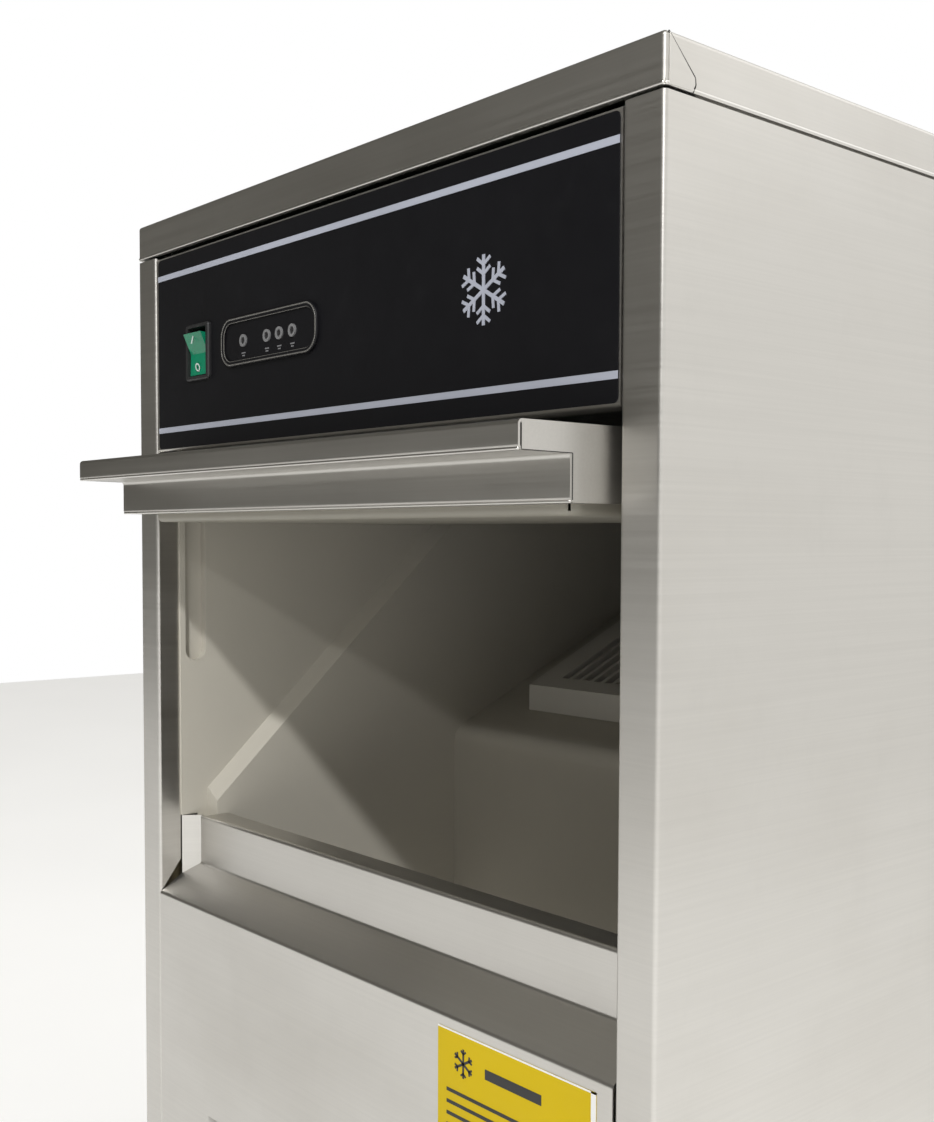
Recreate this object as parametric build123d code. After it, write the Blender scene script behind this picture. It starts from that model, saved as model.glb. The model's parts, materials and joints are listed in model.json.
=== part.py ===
from build123d import *
import math
import os

# Under-counter ice maker: a folded steel cabinet over an insulated ice bin, with a
# door that swings up and slides back, an ice making chamber at the rear of the bin
# and the refrigeration unit in a room below it.
#
# Millimetres. Everything is drawn in cabinet coordinates: X to the right from the
# middle, Y to the rear from the cabinet's front plane, Z up from the floor. save()
# shifts each piece so that the origin is the middle of the bounding box's base.

# ---- driving dimensions: cabinet ----
WIDTH = 400.0
DEPTH = 520.0
HEIGHT = 695.0
FOOT_HEIGHT = 35.0
SHEET = 1.0
BEND = 2.0
POST_WIDTH = 20.0
POST_RETURN = 14.0
REAR_FLANGE = 16.0
LID_HEIGHT = 19.5
LID_HEM = 2.4
LID_GAP = 1.3
REAR_REACH = 22.0
PORT_COLLAR = 4.0

# ---- driving dimensions: control panel ----
PANEL_HEIGHT = 110.0
PANEL_SIDE_GAP = 0.7
PANEL_BEND = 1.4
OVERLAY = 0.4
OVERLAY_LEFT_MARGIN = 3.3
OVERLAY_RIGHT_MARGIN = 1.6
STRIPE_HEIGHT = 3.0
STRIPE_MARGIN = 10.4
TRAY_DEPTH = 186.0
TRAY_LIFT = 8.0
SWITCH_WIDTH = 25.0
SWITCH_HEIGHT = 30.6
SWITCH_FROM_LEFT = 70.0
SWITCH_FROM_TOP = 57.5
SWITCH_TILT = 11.0
INDICATOR_WIDTH = 89.4
INDICATOR_HEIGHT = 25.5
INDICATOR_RADIUS = 10.0
INDICATOR_FROM_LEFT = 139.9
LAMP_OFFSETS = (-23.3, -0.7, 10.7, 22.5)
LAMP_RADIUS = 3.2
EMBLEM_RADIUS = 14.5
EMBLEM_FROM_RIGHT = 96.5

# ---- driving dimensions: door and its guide ----
DOOR_SIDE_GAP = 3.5
DOOR_HEIGHT = 204.0
DOOR_THICKNESS = 29.0
DOOR_GAP = 7.0
LIP_REACH = 26.0
LIP_THICKNESS = 11.0
LIP_PROUD = 48.5
PIN_DEPTH = 23.0
PIN_RADIUS = 3.0
PIN_CLEARANCE = 0.06
GUIDE_SETBACK = 24.0
GUIDE_WIDTH = 13.4
GUIDE_DROP = 92.0
TRACK_HEIGHT = 10.0
TRACK_DEPTH = 5.0
SHOE_LENGTH = 13.0
SHOE_CLEARANCE = 0.3
STUD_SPACING = 85.0
DOOR_LINER = 4.5
DOOR_LINER_INSET = 12.0

# ---- driving dimensions: bin ----
SILL_GAP = 2.5
SILL_SETBACK = 23.3
SILL_HEIGHT = 28.9
SILL_END_GAP = 7.0
LEDGE_DROP = 14.9
SILL_DEPTH = 15.0
LINER_WALL = 2.0
LINER_SIDE_GAP = 2.0
LINER_CORNER = 12.0
LINER_STEP = 11.0
LINER_STEP_RUN = 5.0
STEP_START = 20.0
DOOR_REST_GAP = 1.5
STEP_BELOW_SILL = 2.5
STEP_SLOPE = 42.2
STEP_END = 247.0
BIN_FLOOR = 236.0
HUMP_FRONT = 217.0
HUMP_BELOW_DOOR = 173.2
HUMP_SLOPE = 24.0
CHAMBER_FRONT = 200.0
CHAMBER_ROOF_DROP = 45.0
REAR_INSULATION = 33.0
FOAM = 22.0

# ---- driving dimensions: ice making unit ----
CHUTE_WIDTH = 256.0
CHUTE_START = 250.0
CHUTE_THICKNESS = 17.5
CHUTE_RIB = 3.2
CHUTE_PITCH = 9.6
TANK_CLEARANCE = 3.0
TANK_DEPTH = 34.0
HOOD_START = 325.0
HOOD_HALF = 110.0
CUP_RADIUS = 12.0
CUP_PITCH = 30.0
CUP_HEIGHT = 22.0
CUP_COLUMNS = 6
CUP_ROWS = 4
COIL_RADIUS = 4.0

# ---- driving dimensions: machine room ----
CONDENSER_WIDTH = 220.0
CONDENSER_HEIGHT = 146.0
CONDENSER_DEPTH = 44.0
CONDENSER_SETBACK = 56.0
FAN_RADIUS = 62.0
FAN_TIP_GAP = 4.0
COMPRESSOR_RADIUS = 62.0
COMPRESSOR_HEIGHT = 138.0
LOUVRE_COUNT = 9
LOUVRE_PITCH = 15.0
LOUVRE_HEIGHT = 5.0
LOUVRE_WIDTH = 250.0

# ---- driving dimensions: sticker on the lower front ----
LABEL_WIDTH = 95.0
LABEL_HEIGHT = 69.0
LABEL_FROM_POST = 9.0
LABEL_BELOW_LEDGE = 5.0

# ---- places worked out from the sizes above ----
HALF = WIDTH / 2
POST_INNER = HALF - POST_WIDTH
LID_BOTTOM = HEIGHT - LID_HEIGHT
PANEL_TOP = LID_BOTTOM - LID_GAP - 1.0
PANEL_BOTTOM = PANEL_TOP - PANEL_HEIGHT
TRAY_FLOOR = PANEL_BOTTOM + TRAY_LIFT
DOOR_TOP = PANEL_BOTTOM - DOOR_GAP
DOOR_SHUT_BOTTOM = DOOR_TOP - DOOR_HEIGHT
DOOR_FRONT = LIP_REACH - LIP_PROUD
DOOR_REAR = DOOR_FRONT + DOOR_HEIGHT
DOOR_HALF = POST_INNER - DOOR_SIDE_GAP
PIN_Z = DOOR_TOP - PIN_DEPTH
PIN_Y = DOOR_REAR - PIN_DEPTH
SILL_TOP = DOOR_SHUT_BOTTOM - SILL_GAP
SILL_BOTTOM = SILL_TOP - SILL_HEIGHT
LEDGE_BOTTOM = SILL_BOTTOM - LEDGE_DROP
SILL_REAR = SILL_SETBACK + SILL_DEPTH
LINER_HALF = DOOR_HALF + LINER_SIDE_GAP
NARROW_HALF = LINER_HALF - LINER_STEP
GROOVE_HALF = LINER_HALF + TRACK_DEPTH
CHAMBER_ROOF = HEIGHT - CHAMBER_ROOF_DROP
CHAMBER_REAR = DEPTH - REAR_INSULATION
HUMP_TOP = DOOR_TOP - HUMP_BELOW_DOOR
BASE_TOP = FOOT_HEIGHT + 1.2
FOOT_X = HALF - 38.0
FOOT_Y = (40.0, DEPTH - 40.0)
REAR_FACE = DEPTH - SHEET
PORT_START = REAR_FACE + PORT_COLLAR
HOOD_REAR = CHAMBER_REAR - LINER_CORNER - 1.0
CURTAIN_Y = HOOD_START - 5.0
CURTAIN_Z = DOOR_TOP + 1.0
FAN_X = -HALF + 30.0 + CONDENSER_WIDTH / 2
FAN_Z = BASE_TOP + 4.0 + CONDENSER_HEIGHT / 2
SHROUD_Y = CONDENSER_SETBACK + CONDENSER_DEPTH + 2.0
FAN_Y = SHROUD_Y + 14.0
COMPRESSOR_X = 40.0
COMPRESSOR_Y = DEPTH - 175.0
DRIER_Y = 110.0
PIPE_RADIUS = 3.2
PIPE_BEND = 8.0
SHIFT_Y = (LIP_PROUD - DEPTH - REAR_REACH) / 2


def save(name, shape):
    """Write one piece, moved from cabinet coordinates to the part's own frame."""
    export_step(Pos(0, SHIFT_Y, 0) * shape, f"parts/{name}.step")


def block(x0, x1, y0, y1, z0, z1):
    """A box between two corners."""
    size = (x1 - x0, y1 - y0, z1 - z0)
    return Pos((x0 + x1) / 2, (y0 + y1) / 2, (z0 + z1) / 2) * Box(*size)


def side_plane(x):
    """A plane that faces +X at x, with its own axes along +Y and +Z."""
    return Plane(origin=(x, 0, 0), x_dir=(0, 1, 0), z_dir=(1, 0, 0))


def prism(points, x0, x1):
    """A side outline of (y, z) points, extruded from x0 to x1."""
    return extrude(side_plane(x0) * make_face(Polyline(*points, close=True)), x1 - x0)


def folded_x(points, half, radius=BEND):
    """A folded sheet whose (y, z) outline runs along X, the same each side of the middle."""
    line = FilletPolyline(*points, radius=radius)
    return extrude(side_plane(-half) * make_face(offset(line, SHEET, side=Side.LEFT)), 2 * half)


def folded_z(points, z0, z1):
    """A folded sheet whose (x, y) outline runs up Z."""
    line = FilletPolyline(*points, radius=BEND)
    return extrude(Pos(0, 0, z0) * make_face(offset(line, SHEET, side=Side.LEFT)), z1 - z0)


def rod_x(radius, x0, x1, y, z):
    """A round bar along X."""
    return Pos((x0 + x1) / 2, y, z) * Rot(0, 90, 0) * Cylinder(radius, x1 - x0)


def rod_y(radius, y0, y1, x, z):
    """A round bar along Y."""
    return Pos(x, (y0 + y1) / 2, z) * Rot(90, 0, 0) * Cylinder(radius, y1 - y0)


def rod_z(radius, z0, z1, x, y):
    """A round bar up Z."""
    return Pos(x, y, (z0 + z1) / 2) * Cylinder(radius, z1 - z0)


def tube(points, radius, bend):
    """A round bar along a bent route."""
    path = FilletPolyline(*points, radius=bend)
    section = Plane(origin=path @ 0, z_dir=path % 0) * Circle(radius)
    return sweep(section, path=path)


def slot_y(width, height, y0, y1, x, z):
    """A round-ended bar along Y, longer across X than it is high."""
    face = Plane.XZ * SlotOverall(width, height)
    return Pos(x, y1, z) * extrude(face, amount=y1 - y0)


def hump_line(y):
    """Height of the bin hump's sloping top at depth y."""
    return HUMP_TOP + (y - HUMP_FRONT) * math.tan(math.radians(HUMP_SLOPE))


def step_line(y):
    """Height of the bin wall's diagonal step at depth y."""
    return SILL_TOP - STEP_BELOW_SILL + (y - STEP_START) * math.tan(math.radians(STEP_SLOPE))


def mirrored(shape):
    """A piece and its twin on the other side."""
    return Compound([shape, mirror(shape, about=Plane.YZ)])


# ---- casing ----
def top_lid():
    outer = block(-HALF, HALF, 0, DEPTH, LID_BOTTOM, HEIGHT)
    outer = fillet(outer.edges().filter_by(Axis.Z), BEND)
    outer = fillet(outer.faces().sort_by(Axis.Z)[-1].edges(), BEND)
    hem = LID_HEM
    inner = block(-HALF + SHEET, HALF - SHEET, SHEET, DEPTH - SHEET, LID_BOTTOM, HEIGHT - SHEET)
    ring = block(-HALF + 0.5, HALF - 0.5, 0.5, DEPTH - 0.5, LID_BOTTOM, LID_BOTTOM + hem)
    mouth = block(-HALF + hem, HALF - hem, hem, DEPTH - hem, LID_BOTTOM - 1, LID_BOTTOM + hem + 1)
    return outer - inner + (ring - mouth)


def side_panel():
    """The right side: outer wall, front post with its inner return, and rear flange."""
    top = LID_BOTTOM - LID_GAP
    points = [
        (POST_INNER, POST_RETURN),
        (POST_INNER, 0),
        (HALF, 0),
        (HALF, DEPTH),
        (HALF - REAR_FLANGE, DEPTH),
    ]
    panel = folded_z(points, FOOT_HEIGHT, top)
    low = FOOT_HEIGHT - 1
    rear = POST_RETURN + 1
    outline = [(SHEET, low), (SHEET, LEDGE_BOTTOM), (rear, SILL_BOTTOM + 4.0), (rear, low)]
    panel -= prism(outline, POST_INNER - 1, POST_INNER + SHEET)
    x0 = HALF - LID_HEM - 1.2
    panel += block(x0, x0 + SHEET, 20, DEPTH - 20, top - 14, HEIGHT - SHEET)
    panel += block(x0, HALF - SHEET, 20, DEPTH - 20, top - 14, top - 3)
    for x, z in screw_places():
        panel -= rod_y(SCREW_RADIUS, REAR_FACE - 1, DEPTH + 1, x, z)
    return panel


def rear_panel():
    half = HALF - BEND - 0.2
    panel = block(-half, half, REAR_FACE - SHEET, REAR_FACE, FOOT_HEIGHT + 2, LID_BOTTOM - LID_GAP)
    for row in range(LOUVRE_COUNT):
        z = BASE_TOP + 42 + row * LOUVRE_PITCH
        for x in (-70, 70):
            panel -= slot_y(100, LOUVRE_HEIGHT, REAR_FACE - 3, REAR_FACE + 1, x, z)
    panel -= rod_y(VALVE_RADIUS + 0.3, REAR_FACE - 3, REAR_FACE + 1, VALVE_X, VALVE_Z)
    panel -= rod_y(DRAIN_RADIUS + 3, REAR_FACE - 3, REAR_FACE + 1, DRAIN_X, DRAIN_Z)
    panel -= block(INLET_X - 14, INLET_X + 14, REAR_FACE - 3, REAR_FACE + 1, INLET_Z - 10, INLET_Z + 10)
    for x, z in screw_places():
        panel -= rod_y(SCREW_RADIUS, REAR_FACE - 3, REAR_FACE + 1, x, z)
    return panel


SCREW_RADIUS = 2.0


def screw_places():
    """Heights and sides of the screws that hold the rear panel."""
    low = FOOT_HEIGHT + 30
    high = LID_BOTTOM - 30
    levels = [low + (high - low) * share for share in (0, 1 / 3, 2 / 3, 1)]
    return [(side * (HALF - REAR_FLANGE / 2), z) for side in (-1, 1) for z in levels]


def casing_screws():
    """Pan-head screws through the side panels' rear flanges."""
    screws = []
    for x, z in screw_places():
        head = rod_y(4.0, DEPTH, DEPTH + 2.2, x, z)
        head = fillet(head.faces().sort_by(Axis.Y)[-1].edges(), 1.2)
        drive = block(x - 2.4, x + 2.4, DEPTH + 1.2, DEPTH + 3, z - 0.4, z + 0.4)
        cross = block(x - 0.4, x + 0.4, DEPTH + 1.2, DEPTH + 3, z - 2.4, z + 2.4)
        screws.append(head + rod_y(SCREW_RADIUS, REAR_FACE - 8, DEPTH, x, z) - drive - cross)
    return Compound(screws)


def base_pan():
    x = HALF - SHEET
    pan = block(-x, x, 2.0, REAR_FACE - SHEET, FOOT_HEIGHT, FOOT_HEIGHT + 22)
    pan -= block(-x + 1.2, x - 1.2, 3.2, REAR_FACE - SHEET - 1.2, BASE_TOP, FOOT_HEIGHT + 30)
    for fx in (-FOOT_X, FOOT_X):
        for fy in FOOT_Y:
            pan -= rod_z(STEM_RADIUS + 0.6, FOOT_HEIGHT - 1, BASE_TOP + 1, fx, fy)
    return pan


def lower_front_panel():
    """Sill shelf, sill band, slanted ledge and louvred front, folded from one sheet."""
    half = POST_INNER - PANEL_SIDE_GAP
    points = [
        (SILL_REAR, SILL_TOP),
        (SILL_SETBACK, SILL_TOP),
        (SILL_SETBACK, SILL_BOTTOM),
        (0, LEDGE_BOTTOM),
        (0, FOOT_HEIGHT + 1.0),
    ]
    panel = folded_x(points, half)
    band_end = block(POST_INNER - SILL_END_GAP, HALF, 3, SILL_REAR + 2, SILL_BOTTOM + 2, SILL_TOP + 2)
    shelf_end = block(NARROW_HALF - 0.3, HALF, SILL_SETBACK + 1.2, SILL_REAR + 2, SILL_TOP - 4, SILL_TOP + 2)
    for end in (band_end, shelf_end):
        panel = panel - end - mirror(end, about=Plane.YZ)
    for row in range(LOUVRE_COUNT):
        z = BASE_TOP + 30 + row * LOUVRE_PITCH
        panel -= slot_y(LOUVRE_WIDTH, LOUVRE_HEIGHT, -1, SHEET + 1, 0, z)
    cheek = sill_cheek()
    return panel + cheek + mirror(cheek, about=Plane.YZ)


def sill_cheek():
    """The slanting end of the sill band, from the bin's front edge down to the ledge."""
    inner, outer = POST_INNER - SILL_END_GAP - 0.5, LINER_HALF + 0.4
    front = POST_RETURN + 0.3
    fore = [(inner, SILL_SETBACK), (outer, front)]
    aft = [(outer + SHEET, front + 0.4), (inner, SILL_SETBACK + SHEET)]
    plan = make_face(Polyline(*fore, *aft, close=True))
    cheek = Pos(0, 0, LEDGE_BOTTOM) * extrude(plan, SILL_TOP - LEDGE_BOTTOM - 0.2)
    sunk = SHEET * 0.6
    under = LEDGE_BOTTOM - 10
    rear = SILL_SETBACK + 10
    slope = [(0, LEDGE_BOTTOM - sunk), (SILL_SETBACK, SILL_BOTTOM - sunk)]
    below_ledge = slope + [(rear, SILL_BOTTOM - sunk), (rear, under), (0, under)]
    return cheek - prism(below_ledge, inner - 1, outer + 2)


# ---- feet ----
STEM_RADIUS = 5.0
NUT_HEIGHT = 12.0


def foot(x, y):
    """A levelling foot: floor pad, hexagon and the screw stem above it."""
    pad = Pos(x, y, 0) * extrude(Circle(19), 9)
    pad = fillet(pad.faces().sort_by(Axis.Z)[-1].edges(), 3)
    pad = chamfer(pad.faces().sort_by(Axis.Z)[0].edges(), 1.2)
    neck = Pos(x, y, 9) * Cone(13, 9, 12, align=(Align.CENTER, Align.CENTER, Align.MIN))
    nut = Pos(x, y, 21) * extrude(RegularPolygon(12, 6), FOOT_HEIGHT - 21)
    stem = rod_z(STEM_RADIUS, FOOT_HEIGHT - 1, FOOT_HEIGHT + 30, x, y)
    return pad + neck + nut + stem


def foot_nuts():
    """Weld nuts on the base pan that the feet screw into."""
    nuts = []
    for x in (-FOOT_X, FOOT_X):
        for y in FOOT_Y:
            body = Pos(x, y, BASE_TOP) * extrude(RegularPolygon(11, 6), NUT_HEIGHT)
            nuts.append(body - rod_z(STEM_RADIUS + 0.08, BASE_TOP - 1, BASE_TOP + NUT_HEIGHT + 1, x, y))
    return Compound(nuts)


# ---- control panel ----
FASCIA_Y = 0.8
SWITCH_X = -HALF + SWITCH_FROM_LEFT
SWITCH_Z = PANEL_TOP - SWITCH_FROM_TOP
INDICATOR_X = -HALF + INDICATOR_FROM_LEFT
INDICATOR_Z = SWITCH_Z + 0.9
EMBLEM_X = HALF - EMBLEM_FROM_RIGHT
SWITCH_BODY = (22.0, 27.8)


def control_panel():
    half = POST_INNER - PANEL_SIDE_GAP
    front = [(FASCIA_Y, PANEL_TOP), (FASCIA_Y, PANEL_BOTTOM)]
    points = [(POST_RETURN, PANEL_TOP)] + front + [(POST_RETURN, PANEL_BOTTOM)]
    panel = folded_x(points, half, radius=PANEL_BEND)
    ends = block(half - SHEET, half, FASCIA_Y + 0.6, POST_RETURN, PANEL_BOTTOM + 2.2, PANEL_TOP - 2.2)
    panel = panel + ends + mirror(ends, about=Plane.YZ)
    return panel - panel_cutouts()


def panel_cutouts():
    """Holes for the switch and the indicator lamps."""
    width, height = SWITCH_BODY
    cut = Pos(SWITCH_X, 0, SWITCH_Z) * Box(width, 10, height)
    for offset_x in LAMP_OFFSETS:
        cut += rod_y(LAMP_RADIUS - 0.6, -5, 5, INDICATOR_X + offset_x, INDICATOR_Z)
    return cut


def overlay_span():
    """Left and right edges of the black overlay."""
    return -POST_INNER + OVERLAY_LEFT_MARGIN, POST_INNER - OVERLAY_RIGHT_MARGIN


def panel_overlay():
    x0, x1 = overlay_span()
    sheet = block(x0, x1, FASCIA_Y - OVERLAY, FASCIA_Y, PANEL_BOTTOM + 1.4, PANEL_TOP - 1.4)
    sheet = fillet(sheet.edges().filter_by(Axis.Y), 2.5)
    return sheet - panel_cutouts()


def panel_stripes():
    x0, x1 = overlay_span()
    y1 = FASCIA_Y - OVERLAY
    upper = PANEL_TOP - STRIPE_MARGIN
    lower = PANEL_BOTTOM + STRIPE_MARGIN
    first = block(x0, x1, y1 - 0.2, y1, upper - STRIPE_HEIGHT, upper)
    second = block(x0, x1, y1 - 0.2, y1, lower, lower + STRIPE_HEIGHT)
    return Compound([first, second])


def panel_emblem():
    """A plain six-armed snow crystal, raised from the overlay."""
    arm = Rectangle(1.7, EMBLEM_RADIUS, align=(Align.CENTER, Align.MIN))
    for reach in (0.45, 0.72):
        for turn in (-55, 55):
            twig = Rectangle(1.4, EMBLEM_RADIUS * 0.34, align=(Align.CENTER, Align.MIN))
            arm += Pos(0, EMBLEM_RADIUS * reach) * Rot(0, 0, turn) * twig
    crystal = Sketch() + [Rot(0, 0, 60 * k) * arm for k in range(6)]
    y1 = FASCIA_Y - OVERLAY
    return Pos(EMBLEM_X, y1, INDICATOR_Z) * extrude(Plane.XZ * crystal, amount=0.3)


def switch_bezel():
    width, height = SWITCH_BODY
    face_y = FASCIA_Y - OVERLAY
    flange = block(
        SWITCH_X - SWITCH_WIDTH / 2, SWITCH_X + SWITCH_WIDTH / 2, face_y - 2.0, face_y,
        SWITCH_Z - SWITCH_HEIGHT / 2, SWITCH_Z + SWITCH_HEIGHT / 2,
    )
    flange = fillet(flange.edges().filter_by(Axis.Y), 2.0)
    flange = chamfer(flange.faces().sort_by(Axis.Y)[0].edges(), 0.7)
    x0, x1 = SWITCH_X - width / 2, SWITCH_X + width / 2
    body = block(x0, x1, face_y, 22, SWITCH_Z - height / 2, SWITCH_Z + height / 2)
    well = block(SWITCH_X - 9.7, SWITCH_X + 9.7, -5, 14, SWITCH_Z - 13.2, SWITCH_Z + 13.2)
    bezel = flange + body - well
    for x in (SWITCH_X - 10.3, SWITCH_X + 10.3):
        bezel -= rod_x(1.56, x - 0.8, x + 0.8, SWITCH_PIVOT_Y, SWITCH_Z)
    for x in (-6, 0, 6):
        bezel += block(SWITCH_X + x - 0.4, SWITCH_X + x + 0.4, 22, 29, SWITCH_Z - 2.4, SWITCH_Z + 2.4)
    return bezel


SWITCH_PIVOT_Y = 4.5


def switch_rocker():
    """The rocker as it sits with its lower half pressed in."""
    face = -7.0
    outline = [(face, 11.4), (face + 2.6, 0), (face, -11.4), (5.0, -8.0), (7.0, 0), (5.0, 8.0)]
    rocker = prism(outline, -9.2, 9.2) + rod_x(1.5, -10.8, 10.8, 0, 0)
    return Pos(SWITCH_X, SWITCH_PIVOT_Y, SWITCH_Z) * Rot(SWITCH_TILT, 0, 0) * rocker


def rounded_plate(width, height, radius, y0, y1):
    """A plate facing the front, with round corners."""
    return Pos(0, y1, 0) * extrude(Plane.XZ * RectangleRounded(width, height, radius), amount=y1 - y0)


def indicator_bezel():
    """A shallow round-cornered dish with a raised rim."""
    y1 = FASCIA_Y - OVERLAY
    rim = rounded_plate(INDICATOR_WIDTH, INDICATOR_HEIGHT, INDICATOR_RADIUS, y1 - 1.8, y1)
    rim = fillet(rim.faces().sort_by(Axis.Y)[0].edges(), 0.9)
    dish = rounded_plate(INDICATOR_WIDTH - 5, INDICATOR_HEIGHT - 5, INDICATOR_RADIUS - 2.5, y1 - 3, y1 - 0.5)
    bezel = Pos(INDICATOR_X, 0, INDICATOR_Z) * (rim - dish)
    for offset_x in LAMP_OFFSETS:
        bezel -= rod_y(LAMP_RADIUS - 0.6, -5, 5, INDICATOR_X + offset_x, INDICATOR_Z)
    return bezel


def indicator_lamps():
    """Four lamps in collars that stand out of the dish."""
    lamps = []
    y1 = FASCIA_Y - OVERLAY - 0.5
    for offset_x in LAMP_OFFSETS:
        x = INDICATOR_X + offset_x
        collar = rod_y(LAMP_RADIUS, y1 - 0.8, y1, x, INDICATOR_Z)
        collar -= rod_y(LAMP_RADIUS - 1.3, y1 - 2, y1 - 0.4, x, INDICATOR_Z)
        lamps.append(collar + rod_y(LAMP_RADIUS - 0.7, y1, 9, x, INDICATOR_Z))
    return Compound(lamps)


def control_tray():
    """The open-topped steel tray that holds the electrics above the door."""
    half = POST_INNER + 1
    y0 = POST_RETURN + 0.2
    top = PANEL_TOP - 4
    tray = block(-half, half, y0, TRAY_DEPTH, TRAY_FLOOR, top)
    tray -= block(-half + SHEET, half - SHEET, y0 + SHEET, TRAY_DEPTH - SHEET, TRAY_FLOOR + SHEET, top + 1)
    return tray - block(-half + SHEET, half - SHEET, y0 - 1, y0 + SHEET + 1, TRAY_FLOOR + 12, top + 1)


def control_board():
    """Circuit board on standoffs, with relays, a transformer and terminals."""
    z = TRAY_FLOOR + SHEET
    y = POST_RETURN + 62
    board = block(-60, 60, y, y + 90, z + 8, z + 9.6)
    for x in (-54, 54):
        for py in (y + 6, y + 84):
            board += rod_z(3, z, z + 8, x, py)
    for k in range(4):
        board += block(-52 + 22 * k, -36 + 22 * k, y + 62, y + 84, z + 9.6, z + 25)
    board += block(38, 56, y + 14, y + 50, z + 9.6, z + 36)
    board += block(-54, 24, y + 6, y + 16, z + 9.6, z + 22)
    return board + rod_z(8, z + 9.6, z + 34, 10, y + 38)


# ---- door, drawn open: skin upwards, lip to the front ----
def door_outer_pan():
    top = DOOR_TOP
    underside = top - DOOR_THICKNESS
    rear = [(DOOR_REAR - 12, underside), (DOOR_REAR, underside), (DOOR_REAR, top)]
    lip = [(-LIP_PROUD, top), (-LIP_PROUD, top - LIP_THICKNESS), (DOOR_FRONT, top - LIP_THICKNESS)]
    front = [(DOOR_FRONT, underside), (DOOR_FRONT + 12, underside)]
    pan = folded_x(rear + lip + front, DOOR_HALF)
    side = prism(
        [(DOOR_FRONT, top), (DOOR_REAR, top), (DOOR_REAR, underside), (DOOR_FRONT, underside)],
        DOOR_HALF - SHEET,
        DOOR_HALF,
    )
    side = fillet(side.edges().filter_by(Axis.X), BEND)
    cheek = block(DOOR_HALF - SHEET, DOOR_HALF, -LIP_PROUD + 1.6, DOOR_FRONT + 4, top - LIP_THICKNESS, top)
    pan += side + mirror(side, about=Plane.YZ) + cheek + mirror(cheek, about=Plane.YZ)
    pan -= rod_x(PIN_RADIUS, -HALF, HALF, PIN_Y, PIN_Z)
    return pan - rod_x(PIN_RADIUS, -HALF, HALF, PIN_Y - STUD_SPACING, PIN_Z)


def door_inner_pan():
    """The moulded inner face of the door, with a flange that closes the steel pan."""
    z1 = DOOR_TOP - DOOR_THICKNESS
    inset = DOOR_LINER_INSET
    half = DOOR_HALF - inset
    y0, y1 = DOOR_FRONT + inset, DOOR_REAR - inset
    bulge = block(-half, half, y0, y1, z1 - DOOR_LINER, z1 + SHEET + 1.5)
    bulge = fillet(bulge.edges().filter_by(Axis.Z), 8)
    bulge = fillet(bulge.faces().sort_by(Axis.Z)[0].edges(), 3)
    core = block(-half + 2, half - 2, y0 + 2, y1 - 2, z1 - DOOR_LINER + 2, z1 + 10)
    x = DOOR_HALF - SHEET
    flange = block(-x, x, DOOR_FRONT + BEND, DOOR_REAR - BEND, z1 + SHEET, z1 + SHEET + 1.5)
    return bulge + flange - core


def door_foam():
    z0 = DOOR_TOP - DOOR_THICKNESS + SHEET + 1.5
    foam = block(
        -DOOR_HALF + SHEET + 0.5, DOOR_HALF - SHEET - 0.5, DOOR_FRONT + BEND + 0.5, DOOR_REAR - BEND - 0.5,
        z0, DOOR_TOP - SHEET - 0.2,
    )
    for y in (PIN_Y, PIN_Y - STUD_SPACING):
        for side in (-1, 1):
            x = side * (DOOR_HALF - 7)
            foam -= block(x - 8, x + 8, y - 6, y + 6, z0 - 1, PIN_Z + 7)
    return foam


def door_pin(y, tip):
    """A pin pressed into the door's side, reaching out to x = tip, with a square root block."""
    z0 = DOOR_TOP - DOOR_THICKNESS + SHEET + 1.5
    root = block(DOOR_HALF - 13, DOOR_HALF - SHEET, y - 5, y + 5, z0, PIN_Z + 5.5)
    return root + rod_x(PIN_RADIUS, DOOR_HALF - 3, tip, y, PIN_Z)


def door_hinge_pins():
    return mirrored(door_pin(PIN_Y, GROOVE_HALF - 0.4))


def door_guide_studs():
    return mirrored(door_pin(PIN_Y - STUD_SPACING, LINER_HALF - 0.6))


def door_slide_shoes():
    """Plastic blocks that run in the liner's tracks and carry the hinge pins."""
    half_z = TRACK_HEIGHT / 2 - SHOE_CLEARANCE
    half_y = SHOE_LENGTH / 2
    x0, x1 = LINER_HALF + 0.3, GROOVE_HALF - 0.2
    shoe = block(x0, x1, PIN_Y - half_y, PIN_Y + half_y, PIN_Z - half_z, PIN_Z + half_z)
    shoe = fillet(shoe.edges().filter_by(Axis.X), 2.0)
    return mirrored(shoe - rod_x(PIN_RADIUS + PIN_CLEARANCE, LINER_HALF, HALF, PIN_Y, PIN_Z))


# ---- bin ----
def cavity_outline():
    """Side outline of the space inside the bin and the ice making chamber."""
    floor_front = SILL_REAR + 1
    roof = TRAY_FLOOR - SHEET
    return [
        (-60, roof + 60),
        (CHAMBER_FRONT, roof + 60),
        (CHAMBER_FRONT, CHAMBER_ROOF),
        (CHAMBER_REAR, CHAMBER_ROOF),
        (CHAMBER_REAR, hump_line(CHAMBER_REAR)),
        (HUMP_FRONT, HUMP_TOP),
        (HUMP_FRONT, BIN_FLOOR),
        (floor_front, BIN_FLOOR),
        (floor_front, SILL_TOP - SHEET - 0.5),
        (-60, SILL_TOP - SHEET - 0.5),
    ]


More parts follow.
